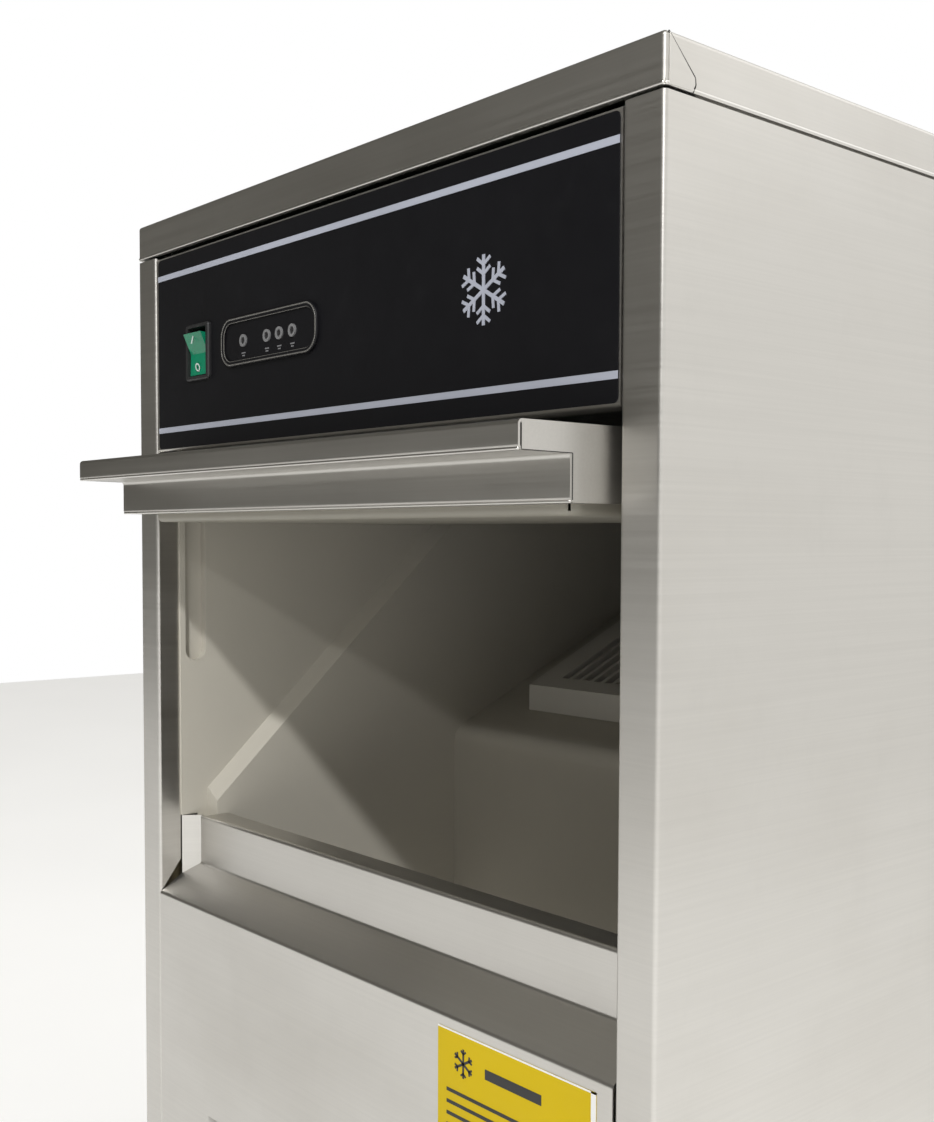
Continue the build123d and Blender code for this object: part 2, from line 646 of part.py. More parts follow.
def cavity(grow):
    """The bin's inner space, grown outwards by a wall thickness."""
    narrow_face = make_face(FilletPolyline(*cavity_outline(), radius=LINER_CORNER, close=True))
    if grow:
        narrow_face = offset(narrow_face, grow)
    narrow = extrude(side_plane(0) * narrow_face, NARROW_HALF + grow, both=True)
    lift = grow / math.cos(math.radians(STEP_SLOPE))
    low = (STEP_START - 40, step_line(STEP_START - 40) - lift)
    high = (STEP_END + grow, step_line(STEP_END) - lift)
    top = TRAY_FLOOR + 60
    wide_points = [(-60, top), (-60, low[1]), low, high, (high[0], top)]
    return narrow + wide_prism(wide_points, grow) + door_rest(grow)


def door_rest(grow):
    """Room for the shut door's lower corners, beside the narrow part of the bin."""
    half = LINER_HALF + grow
    rear = GUIDE_SETBACK - PIN_DEPTH + DOOR_THICKNESS + DOOR_REST_GAP
    low = SILL_TOP - SHEET - 0.5 - grow
    return block(-half, half, -60, rear + grow, low, step_line(rear) + LINER_STEP_RUN + 4)


def wide_prism(points, grow):
    """The wide upper part of the bin, bevelled along its lower diagonal edge on both sides."""
    half = LINER_HALF + grow
    start, end = points[2], points[3]
    slope = math.radians(STEP_SLOPE)
    along = (math.cos(slope), math.sin(slope))
    spare = 40.0
    origin = (0, start[0] - spare * along[0], start[1] - spare * along[1])
    plane = Plane(origin=origin, x_dir=(1, 0, 0), z_dir=(0, along[0], along[1]))
    inner, outer, run = half - LINER_STEP, half + 5, -LINER_STEP_RUN
    section = make_face(Polyline((inner, 0), (half, run), (outer, run), (outer, 5), (inner, 5), close=True))
    wedge = extrude(plane * section, math.dist(start, end) + 2 * spare)
    return prism(points, -half, half) - wedge - mirror(wedge, about=Plane.YZ)


def guide_groove(grow):
    """The level track and the upright guide in each side wall, grown for the outer wall."""
    half_z = TRACK_HEIGHT / 2 + grow
    end = SHOE_LENGTH / 2 + 1.5 + grow
    x0 = NARROW_HALF - 1
    x1 = GROOVE_HALF + grow
    track = block(x0, x1, GUIDE_SETBACK - end, PIN_Y + end, PIN_Z - half_z, PIN_Z + half_z)
    radius = GUIDE_WIDTH / 2 + grow
    bottom = PIN_Z - GUIDE_DROP + GUIDE_WIDTH / 2
    guide = block(x0, x1, GUIDE_SETBACK - radius, GUIDE_SETBACK + radius, bottom, PIN_Z)
    guide += rod_x(radius, x0, x1, GUIDE_SETBACK, bottom)
    return mirrored(track + guide)


def tank_well(grow):
    """The recess in the hump that the water tank stands in."""
    half = CHUTE_WIDTH / 2 - 4 + grow
    y0 = CHUTE_START + 14 - grow
    y1 = CHAMBER_REAR - 18 + grow
    z0 = hump_line(CHUTE_START) - TANK_DEPTH - grow
    return block(-half, half, y0, y1, z0, CHAMBER_ROOF - 20)


def liner_envelope():
    """Everything the liner and the space inside it take up."""
    return cavity(LINER_WALL) + guide_groove(LINER_WALL) + tank_well(LINER_WALL)


def liner_limits():
    """The block that the liner is trimmed to: behind the posts, under the tray."""
    main = block(-HALF + 2, HALF - 2, POST_RETURN, DEPTH - 4, BIN_FLOOR - FOAM, TRAY_FLOOR)
    chamber = block(-HALF + 2, HALF - 2, TRAY_DEPTH + 2, DEPTH - 4, BIN_FLOOR - FOAM, HEIGHT)
    return main + chamber


def bin_liner():
    liner = liner_envelope() & liner_limits()
    liner -= cavity(0) + guide_groove(0) + tank_well(0)
    liner -= block(-HALF, HALF, 0, SILL_SETBACK + SHEET + 0.3, 0, SILL_TOP) + coil_holes()
    return liner - rod_z(DRAIN_RADIUS, BIN_FLOOR - 10, BIN_FLOOR + 5, DRAIN_X, BIN_DRAIN_Y)


def bin_insulation():
    """Foam between the liner and the casing, open below for the machine room."""
    half = HALF - SHEET - 0.2
    shape = make_face(Polyline(*cavity_outline(), close=True))
    grown = extrude(side_plane(0) * offset(shape, LINER_WALL + FOAM, kind=Kind.INTERSECTION), half, both=True)
    room = block(-half, half, POST_RETURN + 1, REAR_FACE - SHEET - 0.2, BIN_FLOOR - FOAM - 2, HEIGHT - 24)
    room -= block(-HALF, HALF, -1, SILL_REAR + 1, SILL_BOTTOM - 4, SILL_TOP + 0.2)
    room -= block(-HALF, HALF, -1, SILL_SETBACK + SHEET + 1, 0, SILL_BOTTOM)
    room -= block(-HALF, HALF, -1, TRAY_DEPTH + 1, TRAY_FLOOR - 0.5, HEIGHT)
    room -= block(HALF - LID_HEM - 1.5, HALF, -1, DEPTH + 1, LID_BOTTOM - LID_GAP - 15, HEIGHT)
    room -= block(-HALF, -HALF + LID_HEM + 1.5, -1, DEPTH + 1, LID_BOTTOM - LID_GAP - 15, HEIGHT)
    foam = (grown & room) - liner_envelope() - coil_holes()
    return foam - rod_z(DRAIN_RADIUS + 1, BIN_FLOOR - 60, BIN_FLOOR + 5, DRAIN_X, BIN_DRAIN_Y)


# ---- ice making unit ----
def ice_chute():
    """A sloping slatted plate: ice slides down it and water falls through it."""
    half = CHUTE_WIDTH / 2
    y0 = CHUTE_START
    y1 = CHAMBER_REAR - 6
    rise = CHUTE_THICKNESS
    lift = 0.4
    low0, low1 = hump_line(y0), hump_line(y1)
    outline = [(y0, low0 + lift), (y1, low1 + lift), (y1, low1 + rise), (y0, low0 + rise)]
    plate = prism(outline, -half, half)
    rim = 8
    y2, y3 = y0 + rim, y1 - rim
    low2, low3 = hump_line(y2), hump_line(y3)
    inside = [(y2, low2 - 1), (y3, low3 - 1), (y3, low3 + rise - 5), (y2, low2 + rise - 5)]
    hollow = prism(inside, -half + rim, half - rim)
    plate -= hollow
    slot = CHUTE_PITCH - CHUTE_RIB
    count = int((CHUTE_WIDTH - 26) // CHUTE_PITCH)
    for k in range(count):
        x = (k - (count - 1) / 2) * CHUTE_PITCH
        plate -= block(x - slot / 2, x + slot / 2, y0 + 12, y1 - 12, HUMP_TOP - 20, CHAMBER_ROOF)
    return plate


def water_tank():
    """An open tank in the hump's well, with its rim cut to the slope."""
    half = CHUTE_WIDTH / 2 - 4 - TANK_CLEARANCE
    y0 = CHUTE_START + 14 + TANK_CLEARANCE
    y1 = CHAMBER_REAR - 18 - TANK_CLEARANCE
    z0 = hump_line(CHUTE_START) - TANK_DEPTH
    outline = [(y0, z0), (y1, z0), (y1, hump_line(y1) - 1), (y0, hump_line(y0) - 1)]
    wall = 2.4
    y2, y3 = y0 + wall, y1 - wall
    inner = [(y2, z0 + wall), (y3, z0 + wall), (y3, hump_line(y1) + 5), (y2, hump_line(y0) + 5)]
    return prism(outline, -half, half) - prism(inner, -half + wall, half - wall)


def spray_bar():
    """Two level pipes with upright nozzles, under the chute's slats."""
    z = hump_line(CHUTE_START) - TANK_DEPTH + 14
    y0 = CHUTE_START + 60
    y1 = CHAMBER_REAR - 40
    bar = rod_x(6, -78, 78, y0, z)
    for x in (-60, 0, 60):
        bar += rod_y(5, y0, y1, x, z)
        for k in range(4):
            y = y0 + 12 + k * (y1 - y0 - 24) / 3
            bar += rod_z(3, z, z + 14, x, y)
    for x in (-70, 70):
        bar += rod_z(4, z - 11.6, z, x, y0)
    return bar


def spray_pump():
    """Circulating pump in the tank's corner, with its motor above the water."""
    x = CHUTE_WIDTH / 2 - 34
    y = CHAMBER_REAR - 60
    z = hump_line(CHUTE_START) - TANK_DEPTH + 2.4
    pump = rod_z(18, z, z + 22, x, y)
    return pump + rod_z(7, z + 22, z + 42, x, y) - rod_z(4, z - 1, z + 3, x, y)


def pump_hose():
    """Short hose from the pump to the spray bar."""
    x = CHUTE_WIDTH / 2 - 34
    y = CHAMBER_REAR - 60
    z = hump_line(CHUTE_START) - TANK_DEPTH + 14
    return tube([(x, y - 18.2, z), (x, CHUTE_START + 60, z), (78.2, CHUTE_START + 60, z)], 5, 10)


def spray_hood():
    """A bottomless box that keeps the spray over the chute, with ears for the curtain."""
    wall = 2.2
    y0 = HOOD_START
    low = hump_line(HOOD_REAR) + CHUTE_THICKNESS + 2
    hood = block(-HOOD_HALF, HOOD_HALF, y0, HOOD_REAR, low, CHAMBER_ROOF)
    half = HOOD_HALF - wall
    hood -= block(-half, half, y0 + wall, HOOD_REAR - wall, low - 1, CHAMBER_ROOF - wall)
    hood -= block(-HOOD_HALF + 16, HOOD_HALF - 16, y0 - 1, y0 + wall + 1, low - 1, CURTAIN_Z + 6)
    for side in (-1, 1):
        x = side * (HOOD_HALF - 11)
        ear = block(x - 2, x + 2, CURTAIN_Y - 6, y0 + wall, CURTAIN_Z - 7, CURTAIN_Z + 7)
        hood += ear - rod_x(2.6, x - 3, x + 3, CURTAIN_Y, CURTAIN_Z)
    return hood - coil_holes()


def chamber_curtain():
    """A hanging flap that ice pushes open: a rod with strips below it."""
    bottom = hump_line(CURTAIN_Y) + CHUTE_THICKNESS + 7
    half = HOOD_HALF - 15
    flap = rod_x(2.5, -HOOD_HALF + 9, HOOD_HALF - 9, CURTAIN_Y, CURTAIN_Z)
    flap += block(-half, half, CURTAIN_Y - 0.9, CURTAIN_Y + 0.9, bottom, CURTAIN_Z)
    for k in range(1, 6):
        x = -half + k * 2 * half / 6
        flap -= block(x - 0.6, x + 0.6, CURTAIN_Y - 2, CURTAIN_Y + 2, bottom - 1, CURTAIN_Z - 16)
    return flap


PLATE_Z = CHAMBER_ROOF - 62.0
PLATE_Y = (HOOD_START + HOOD_REAR) / 2
COIL_X = 84.0
COIL_Y0 = PLATE_Y - (CUP_ROWS - 1) / 2 * CUP_PITCH
COIL_Y1 = PLATE_Y + (CUP_ROWS - 1) / 2 * CUP_PITCH


def evaporator_plate():
    """A level plate with ice cups that open downwards."""
    half_x = CUP_COLUMNS * CUP_PITCH / 2
    half_y = CUP_ROWS * CUP_PITCH / 2 + 2
    plate = block(-half_x, half_x, PLATE_Y - half_y, PLATE_Y + half_y, PLATE_Z, PLATE_Z + 3)
    for column in range(CUP_COLUMNS):
        for row in range(CUP_ROWS):
            x = (column - (CUP_COLUMNS - 1) / 2) * CUP_PITCH
            y = PLATE_Y + (row - (CUP_ROWS - 1) / 2) * CUP_PITCH
            plate += rod_z(CUP_RADIUS, PLATE_Z - CUP_HEIGHT, PLATE_Z, x, y)
            plate -= rod_z(CUP_RADIUS - 1.2, PLATE_Z - CUP_HEIGHT - 1, PLATE_Z - 1, x, y)
    for x in (-half_x + 2, half_x - 2):
        for y in (PLATE_Y - half_y + 5, PLATE_Y + half_y - 5):
            plate += rod_z(2, PLATE_Z + 3, CHAMBER_ROOF - 2.2, x, y)
    return plate


def evaporator_coil():
    """Refrigerant tube that winds over the back of the cups, with both ends led up."""
    z = PLATE_Z + 3 + COIL_RADIUS
    top = CHAMBER_ROOF + 16
    points = [(-COIL_X, COIL_Y0, top), (-COIL_X, COIL_Y0, z)]
    for row in range(CUP_ROWS):
        y = COIL_Y0 + row * CUP_PITCH
        ends = (-COIL_X, COIL_X) if row % 2 == 0 else (COIL_X, -COIL_X)
        if row > 0:
            points.append((ends[0], y, z))
        points.append((ends[1], y, z))
    points.append((-COIL_X, COIL_Y1, top))
    return tube(points, COIL_RADIUS, 9)


def coil_holes():
    """Clearance for the coil's two upright ends."""
    ends = (COIL_Y0, COIL_Y1)
    first, last = [rod_z(COIL_RADIUS + 1.2, CHAMBER_ROOF - 5, HEIGHT, -COIL_X, y) for y in ends]
    return first + last


# ---- water and power at the rear ----
VALVE_X = -110.0
VALVE_Z = BASE_TOP + 185.0
VALVE_RADIUS = 13.2
DRAIN_X = -140.0
DRAIN_Z = BASE_TOP + 40.0
DRAIN_RADIUS = 8.0
BIN_DRAIN_Y = HUMP_FRONT - 30.0
INLET_X = 110.0
INLET_Z = BASE_TOP + 185.0


def water_valve():
    """Inlet valve: threaded spigot through the rear panel, body, coil and hose tail."""
    spigot = rod_y(VALVE_RADIUS, REAR_FACE - 2, DEPTH + REAR_REACH, VALVE_X, VALVE_Z)
    spigot -= rod_y(8, DEPTH + 4, DEPTH + REAR_REACH + 1, VALVE_X, VALVE_Z)
    flange = rod_y(19, REAR_FACE - SHEET - 4, REAR_FACE - SHEET, VALVE_X, VALVE_Z)
    body = block(VALVE_X - 14, VALVE_X + 14, REAR_FACE - 42, REAR_FACE - 4, VALVE_Z - 12, VALVE_Z + 12)
    flange += rod_y(19, REAR_FACE + 0.1, PORT_START, VALVE_X, VALVE_Z)
    coil = rod_z(13, VALVE_Z - 46, VALVE_Z - 12, VALVE_X, REAR_FACE - 24)
    tail = rod_y(4.5, REAR_FACE - 56, REAR_FACE - 42, VALVE_X, VALVE_Z)
    return spigot + flange + body + coil + tail


def water_feed_hose():
    """Hose from the valve, forward and down clear of the foam, tied to the room's side."""
    y = REAR_FACE - 56
    route = [
        (VALVE_X, y, VALVE_Z),
        (VALVE_X, y - 26, VALVE_Z),
        (VALVE_X - 40, y - 46, VALVE_Z - 22),
        (VALVE_X - 40, y - 86, VALVE_Z - 22),
    ]
    return tube(route, 4.5, 14)


def drain_outlet():
    """Spigot through the rear panel, with a flange inside and a collar outside."""
    spigot = rod_y(DRAIN_RADIUS + 2, REAR_FACE - 26, DEPTH + REAR_REACH, DRAIN_X, DRAIN_Z)
    spigot += rod_y(DRAIN_RADIUS + 7, REAR_FACE - SHEET - 4, REAR_FACE - SHEET, DRAIN_X, DRAIN_Z)
    spigot += rod_y(DRAIN_RADIUS + 7, REAR_FACE + 0.1, PORT_START, DRAIN_X, DRAIN_Z)
    return spigot - rod_y(DRAIN_RADIUS - 1, REAR_FACE - 30, DEPTH + REAR_REACH + 1, DRAIN_X, DRAIN_Z)


def drain_hose():
    """Hose from the bin's drain hole down and back to the outlet."""
    route = [
        (DRAIN_X, BIN_DRAIN_Y, BIN_FLOOR),
        (DRAIN_X, BIN_DRAIN_Y, DRAIN_Z),
        (DRAIN_X, REAR_FACE - 26, DRAIN_Z),
    ]
    return tube(route, DRAIN_RADIUS, 26) - tube(route, DRAIN_RADIUS - 2, 26)


def power_inlet():
    """Flanged mains inlet socket with a shroud and three blades."""
    face = rounded_plate(48, 24, 4, DEPTH - SHEET, DEPTH + 3)
    body = rounded_plate(27.6, 19.6, 3, REAR_FACE - 22, DEPTH)
    socket = rounded_plate(22, 14, 2.5, DEPTH - 14, DEPTH + 4)
    inlet = face + body - socket
    for x in (-7, 0, 7):
        inlet += block(x - 1, x + 1, DEPTH - 14, DEPTH - 1, -3, 3)
    return Pos(INLET_X, 0, INLET_Z) * inlet


def bin_level_probe():
    """Sensing tube clipped to the bin wall that stops ice making when the bin is full."""
    x = NARROW_HALF - 9
    y = HUMP_FRONT - 22
    z = HUMP_TOP - 20
    probe = rod_y(4, y - 70, y, x, z)
    for py in (y - 60, y - 12):
        probe += block(x, NARROW_HALF, py - 5, py + 5, z - 5, z + 5)
    return probe


# ---- machine room ----
def compressor():
    """Hermetic compressor: a domed steel shell over its foot plate."""
    z = BASE_TOP + 14
    place = Pos(COMPRESSOR_X, COMPRESSOR_Y, z)
    long, short = COMPRESSOR_RADIUS + 12, COMPRESSOR_RADIUS
    wall = 6
    shell = place * extrude(Ellipse(long, short), COMPRESSOR_HEIGHT)
    shell = fillet(shell.faces().sort_by(Axis.Z)[-1].edges(), 26)
    core = extrude(Ellipse(long - wall, short - wall), COMPRESSOR_HEIGHT - 2 * wall)
    core = place * Pos(0, 0, wall) * fillet(core.faces().sort_by(Axis.Z)[-1].edges(), 20)
    plate = place * Pos(0, 0, -2) * Box(168, 104, 4)
    plate = fillet(plate.edges().filter_by(Axis.Z), 12)
    for x, y in compressor_feet():
        plate -= rod_z(6, z - 5, z + 1, x, y)
    band = place * Pos(0, 0, 58) * extrude(Ellipse(long + 3, short + 3), 6)
    return shell + plate + band - core


def compressor_feet():
    """Centres of the four grommets under the compressor."""
    return [(COMPRESSOR_X + sx * 72, COMPRESSOR_Y + sy * 40) for sx in (-1, 1) for sy in (-1, 1)]


def compressor_mounts():
    """Rubber grommets between the foot plate and the base pan."""
    mounts = []
    for x, y in compressor_feet():
        pad = rod_z(11, BASE_TOP, BASE_TOP + 10, x, y)
        mounts.append(pad + rod_z(5.8, BASE_TOP + 10, BASE_TOP + 18, x, y))
    return Compound(mounts)


def relay_box():
    """Terminal cover on the compressor's side, with the starting relay inside."""
    x = COMPRESSOR_X + COMPRESSOR_RADIUS + 15
    return block(x, x + 26, COMPRESSOR_Y - 26, COMPRESSOR_Y + 26, BASE_TOP + 40, BASE_TOP + 102)


def condenser_fins():
    """Stack of upright fins between two end plates."""
    x0 = FAN_X - CONDENSER_WIDTH / 2
    y0 = CONDENSER_SETBACK
    z0 = BASE_TOP + 4
    z1 = z0 + CONDENSER_HEIGHT
    fins = block(x0 + 2, x0 + CONDENSER_WIDTH - 2, y0 + 2, y0 + 3, z0 + 4, z1 - 4)
    fins += block(x0, x0 + 2, y0, y0 + CONDENSER_DEPTH, BASE_TOP, z1)
    fins += block(x0 + CONDENSER_WIDTH - 2, x0 + CONDENSER_WIDTH, y0, y0 + CONDENSER_DEPTH, BASE_TOP, z1)
    pitch = 6.0
    count = int(CONDENSER_WIDTH // pitch)
    for k in range(1, count):
        x = x0 + k * CONDENSER_WIDTH / count
        fins += block(x - 0.4, x + 0.4, y0 + 2, y0 + CONDENSER_DEPTH - 2, z0 + 2, z1 - 2)
    for y, z in condenser_rows():
        fins -= rod_x(COIL_RADIUS, x0 - 1, x0 + CONDENSER_WIDTH + 1, y, z)
    return fins


def condenser_rows():
    """Places of the tubes that cross the condenser."""
    z0 = BASE_TOP + 4
    rows = 5
    step = CONDENSER_HEIGHT / rows
    return [(CONDENSER_SETBACK + y, z0 + step * (k + 0.5)) for k in range(rows) for y in (13.0, 31.0)]


def condenser_tubes():
    """Straight tubes through the fins, joined by bends at both ends."""
    x0 = FAN_X - CONDENSER_WIDTH / 2
    x1 = x0 + CONDENSER_WIDTH
    tubes = [rod_x(COIL_RADIUS, x0 - 5, x1 + 5, y, z) for y, z in condenser_rows()]
    joined = Part() + tubes
    rows = condenser_rows()
    for k in range(0, len(rows) - 1, 2):
        (ya, z), (yb, _) = rows[k], rows[k + 1]
        joined += rod_y(COIL_RADIUS, ya - 2, yb + 2, x1 + 5, z)
        if k + 3 < len(rows):
            joined += rod_z(COIL_RADIUS, z - 2, rows[k + 2][1] + 2, x0 - 5, ya)
    return joined


def fan_shroud():
    """Plate with a round throat behind the condenser, and a bracket for the motor."""
    x0 = FAN_X - CONDENSER_WIDTH / 2
    z0 = BASE_TOP
    throat = FAN_RADIUS + FAN_TIP_GAP
    y0 = SHROUD_Y
    plate = block(x0, x0 + CONDENSER_WIDTH, y0, y0 + 1.5, z0, z0 + CONDENSER_HEIGHT + 6)
    ring = rod_y(throat + 2, y0, y0 + 22, FAN_X, FAN_Z)
    plate = plate + ring - rod_y(throat, y0 - 1, y0 + 23, FAN_X, FAN_Z)
    y1 = FAN_Y + 12
    strap = block(FAN_X - throat - 14, FAN_X + throat + 14, y1 + 42, y1 + 44, FAN_Z - 9, FAN_Z + 9)
    for side in (-1, 1):
        x = FAN_X + side * (throat + 13)
        strap += block(x - 1, x + 1, y0 + 1.5, y1 + 44, FAN_Z - 9, FAN_Z + 9)
    return plate + strap


def fan_motor():
    """Shaded-pole motor on the bracket, with its shaft to the front."""
    y1 = FAN_Y + 12
    body = rod_y(30, y1, y1 + 42, FAN_X, FAN_Z)
    body = fillet(body.edges(), 4)
    return body + rod_y(3, FAN_Y - 6, y1, FAN_X, FAN_Z)


def fan_blades():
    """Five pitched blades on a hub."""
    hub = rod_y(17, FAN_Y - 9, FAN_Y + 9, FAN_X, FAN_Z)
    hub = fillet(hub.faces().sort_by(Axis.Y)[0].edges(), 3)
    fan = hub
    for k in range(5):
        reach = FAN_RADIUS - 15
        blade = Pos(15 + reach / 2, 0, 0) * Rot(32, 0, 0) * Box(reach, 1.6, 34)
        fan += Pos(FAN_X, FAN_Y, FAN_Z) * Rot(0, 72 * k, 0) * blade
    rim = rod_y(FAN_RADIUS, FAN_Y - 11, FAN_Y + 11, FAN_X, FAN_Z)
    return (fan & rim) - rod_y(3.06, FAN_Y - 6.3, FAN_Y + 12, FAN_X, FAN_Z)


def filter_drier():
    x = HALF - 46
    drier = rod_z(10, BASE_TOP + 40, BASE_TOP + 130, x, DRIER_Y)
    return fillet(drier.edges(), 6)


def hot_gas_valve():
    """Solenoid valve that lets hot gas into the evaporator to release the ice."""
    x = HALF - 84
    body = block(x - 9, x + 9, DRIER_Y - 9, DRIER_Y + 9, BASE_TOP + 96, BASE_TOP + 112)
    return body + rod_z(14, BASE_TOP + 60, BASE_TOP + 96, x, DRIER_Y)


def refrigerant_pipes():
    """Discharge, liquid, hot gas and suction pipes, drawn as they leave each piece."""
    top = COMPRESSOR_Z_TOP
    xc = FAN_X + CONDENSER_WIDTH / 2 + 5
    drier_x = HALF - 46
    valve_x = HALF - 84
    rows = condenser_rows()
    y_out, z_out = rows[-1]
    y_low, z_low = rows[0]
    xd, yd = COMPRESSOR_X - 30, COMPRESSOR_Y - 10
    y_turn = y_out + 60
    leaving = [(xd, yd, top), (xd, yd, top + 14), (xd, y_turn, top + 14)]
    arriving = [(xc + 26, y_turn, z_out), (xc + 26, y_out, z_out), (xc + COIL_RADIUS, y_out, z_out)]
    discharge = tube(leaving + arriving, PIPE_RADIUS, PIPE_BEND)
    across = [(xc + COIL_RADIUS, y_low, z_low), (drier_x, y_low, z_low)]
    upward = [(drier_x, DRIER_Y, z_low), (drier_x, DRIER_Y, BASE_TOP + 40)]
    liquid = tube(across + upward, PIPE_RADIUS, PIPE_BEND)
    z_loop = BASE_TOP + 140
    loop = [(valve_x, DRIER_Y, BASE_TOP + 112), (valve_x, DRIER_Y, z_loop), (valve_x, 160, z_loop)]
    hot_gas = tube(loop, PIPE_RADIUS, PIPE_BEND)
    return Compound([discharge, liquid, hot_gas])


COMPRESSOR_Z_TOP = BASE_TOP + 14 + COMPRESSOR_HEIGHT


def care_label():
    """A plain sticker on the lower front panel."""
    x1 = POST_INNER - LABEL_FROM_POST
    z1 = LEDGE_BOTTOM - LABEL_BELOW_LEDGE
    sheet = block(x1 - LABEL_WIDTH, x1, -0.2, 0, z1 - LABEL_HEIGHT, z1)
    return fillet(sheet.edges().filter_by(Axis.Y), 1.5)


def main():
    os.makedirs("parts", exist_ok=True)
    right = side_panel()
    pieces = {
        "top_lid": top_lid(),
        "right_side_panel": right,
        "left_side_panel": mirror(right, about=Plane.YZ),
        "rear_panel": rear_panel(),
        "casing_screws": casing_screws(),
        "base_pan": base_pan(),
        "lower_front_panel": lower_front_panel(),
        "foot_nuts": foot_nuts(),
        "foot_front_left": foot(-FOOT_X, FOOT_Y[0]),
        "foot_front_right": foot(FOOT_X, FOOT_Y[0]),
        "foot_rear_left": foot(-FOOT_X, FOOT_Y[1]),
        "foot_rear_right": foot(FOOT_X, FOOT_Y[1]),
        "control_panel": control_panel(),
        "panel_overlay": panel_overlay(),
        "panel_stripes": panel_stripes(),
        "panel_emblem": panel_emblem(),
        "switch_bezel": switch_bezel(),
        "switch_rocker": switch_rocker(),
        "indicator_bezel": indicator_bezel(),
        "indicator_lamps": indicator_lamps(),
        "control_tray": control_tray(),
        "control_board": control_board(),
        "door_outer_pan": door_outer_pan(),
        "door_inner_pan": door_inner_pan(),
        "door_foam": door_foam(),
        "door_hinge_pins": door_hinge_pins(),
        "door_guide_studs": door_guide_studs(),
        "door_slide_shoes": door_slide_shoes(),
        "bin_liner": bin_liner(),
        "bin_insulation": bin_insulation(),
        "bin_level_probe": bin_level_probe(),
        "ice_chute": ice_chute(),
        "water_tank": water_tank(),
        "spray_bar": spray_bar(),
        "spray_pump": spray_pump(),
        "pump_hose": pump_hose(),
        "spray_hood": spray_hood(),
        "chamber_curtain": chamber_curtain(),
        "evaporator_plate": evaporator_plate(),
        "evaporator_coil": evaporator_coil(),
        "water_valve": water_valve(),
        "water_feed_hose": water_feed_hose(),
        "drain_outlet": drain_outlet(),
        "drain_hose": drain_hose(),
        "power_inlet": power_inlet(),
        "compressor": compressor(),
        "compressor_mounts": compressor_mounts(),
        "relay_box": relay_box(),
        "condenser_fins": condenser_fins(),
        "condenser_tubes": condenser_tubes(),
        "fan_shroud": fan_shroud(),
        "fan_motor": fan_motor(),
        "fan_blades": fan_blades(),
        "filter_drier": filter_drier(),
        "hot_gas_valve": hot_gas_valve(),
        "refrigerant_pipes": refrigerant_pipes(),
        "care_label": care_label(),
    }
    for name, shape in pieces.items():
        save(name, shape)


main()
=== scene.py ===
"""Looks of the under-counter ice maker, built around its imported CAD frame."""

import json
import math

import bmesh
import bpy
from mathutils import Euler, Matrix, Vector

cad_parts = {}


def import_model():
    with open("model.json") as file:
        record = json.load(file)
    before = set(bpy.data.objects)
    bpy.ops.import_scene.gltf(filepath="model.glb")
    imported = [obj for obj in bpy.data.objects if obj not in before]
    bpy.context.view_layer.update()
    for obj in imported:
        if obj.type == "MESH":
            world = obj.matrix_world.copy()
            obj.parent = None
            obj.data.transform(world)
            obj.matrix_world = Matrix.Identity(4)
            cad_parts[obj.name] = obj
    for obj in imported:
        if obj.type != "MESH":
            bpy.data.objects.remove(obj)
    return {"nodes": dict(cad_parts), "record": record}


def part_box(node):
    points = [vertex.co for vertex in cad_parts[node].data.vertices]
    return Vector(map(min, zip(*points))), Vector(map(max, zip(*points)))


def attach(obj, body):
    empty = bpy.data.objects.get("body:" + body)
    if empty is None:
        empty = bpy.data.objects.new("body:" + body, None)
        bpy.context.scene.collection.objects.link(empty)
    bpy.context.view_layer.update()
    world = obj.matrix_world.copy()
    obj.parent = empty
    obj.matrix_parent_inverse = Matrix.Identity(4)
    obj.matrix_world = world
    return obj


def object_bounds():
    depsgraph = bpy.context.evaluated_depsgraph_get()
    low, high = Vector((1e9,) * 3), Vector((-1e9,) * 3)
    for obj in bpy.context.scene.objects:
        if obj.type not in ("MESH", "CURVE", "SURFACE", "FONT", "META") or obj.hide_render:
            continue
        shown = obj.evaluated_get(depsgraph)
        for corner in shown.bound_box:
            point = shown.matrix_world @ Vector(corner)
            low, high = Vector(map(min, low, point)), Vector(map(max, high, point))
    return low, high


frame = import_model()
CAD_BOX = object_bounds()
MM = 0.001


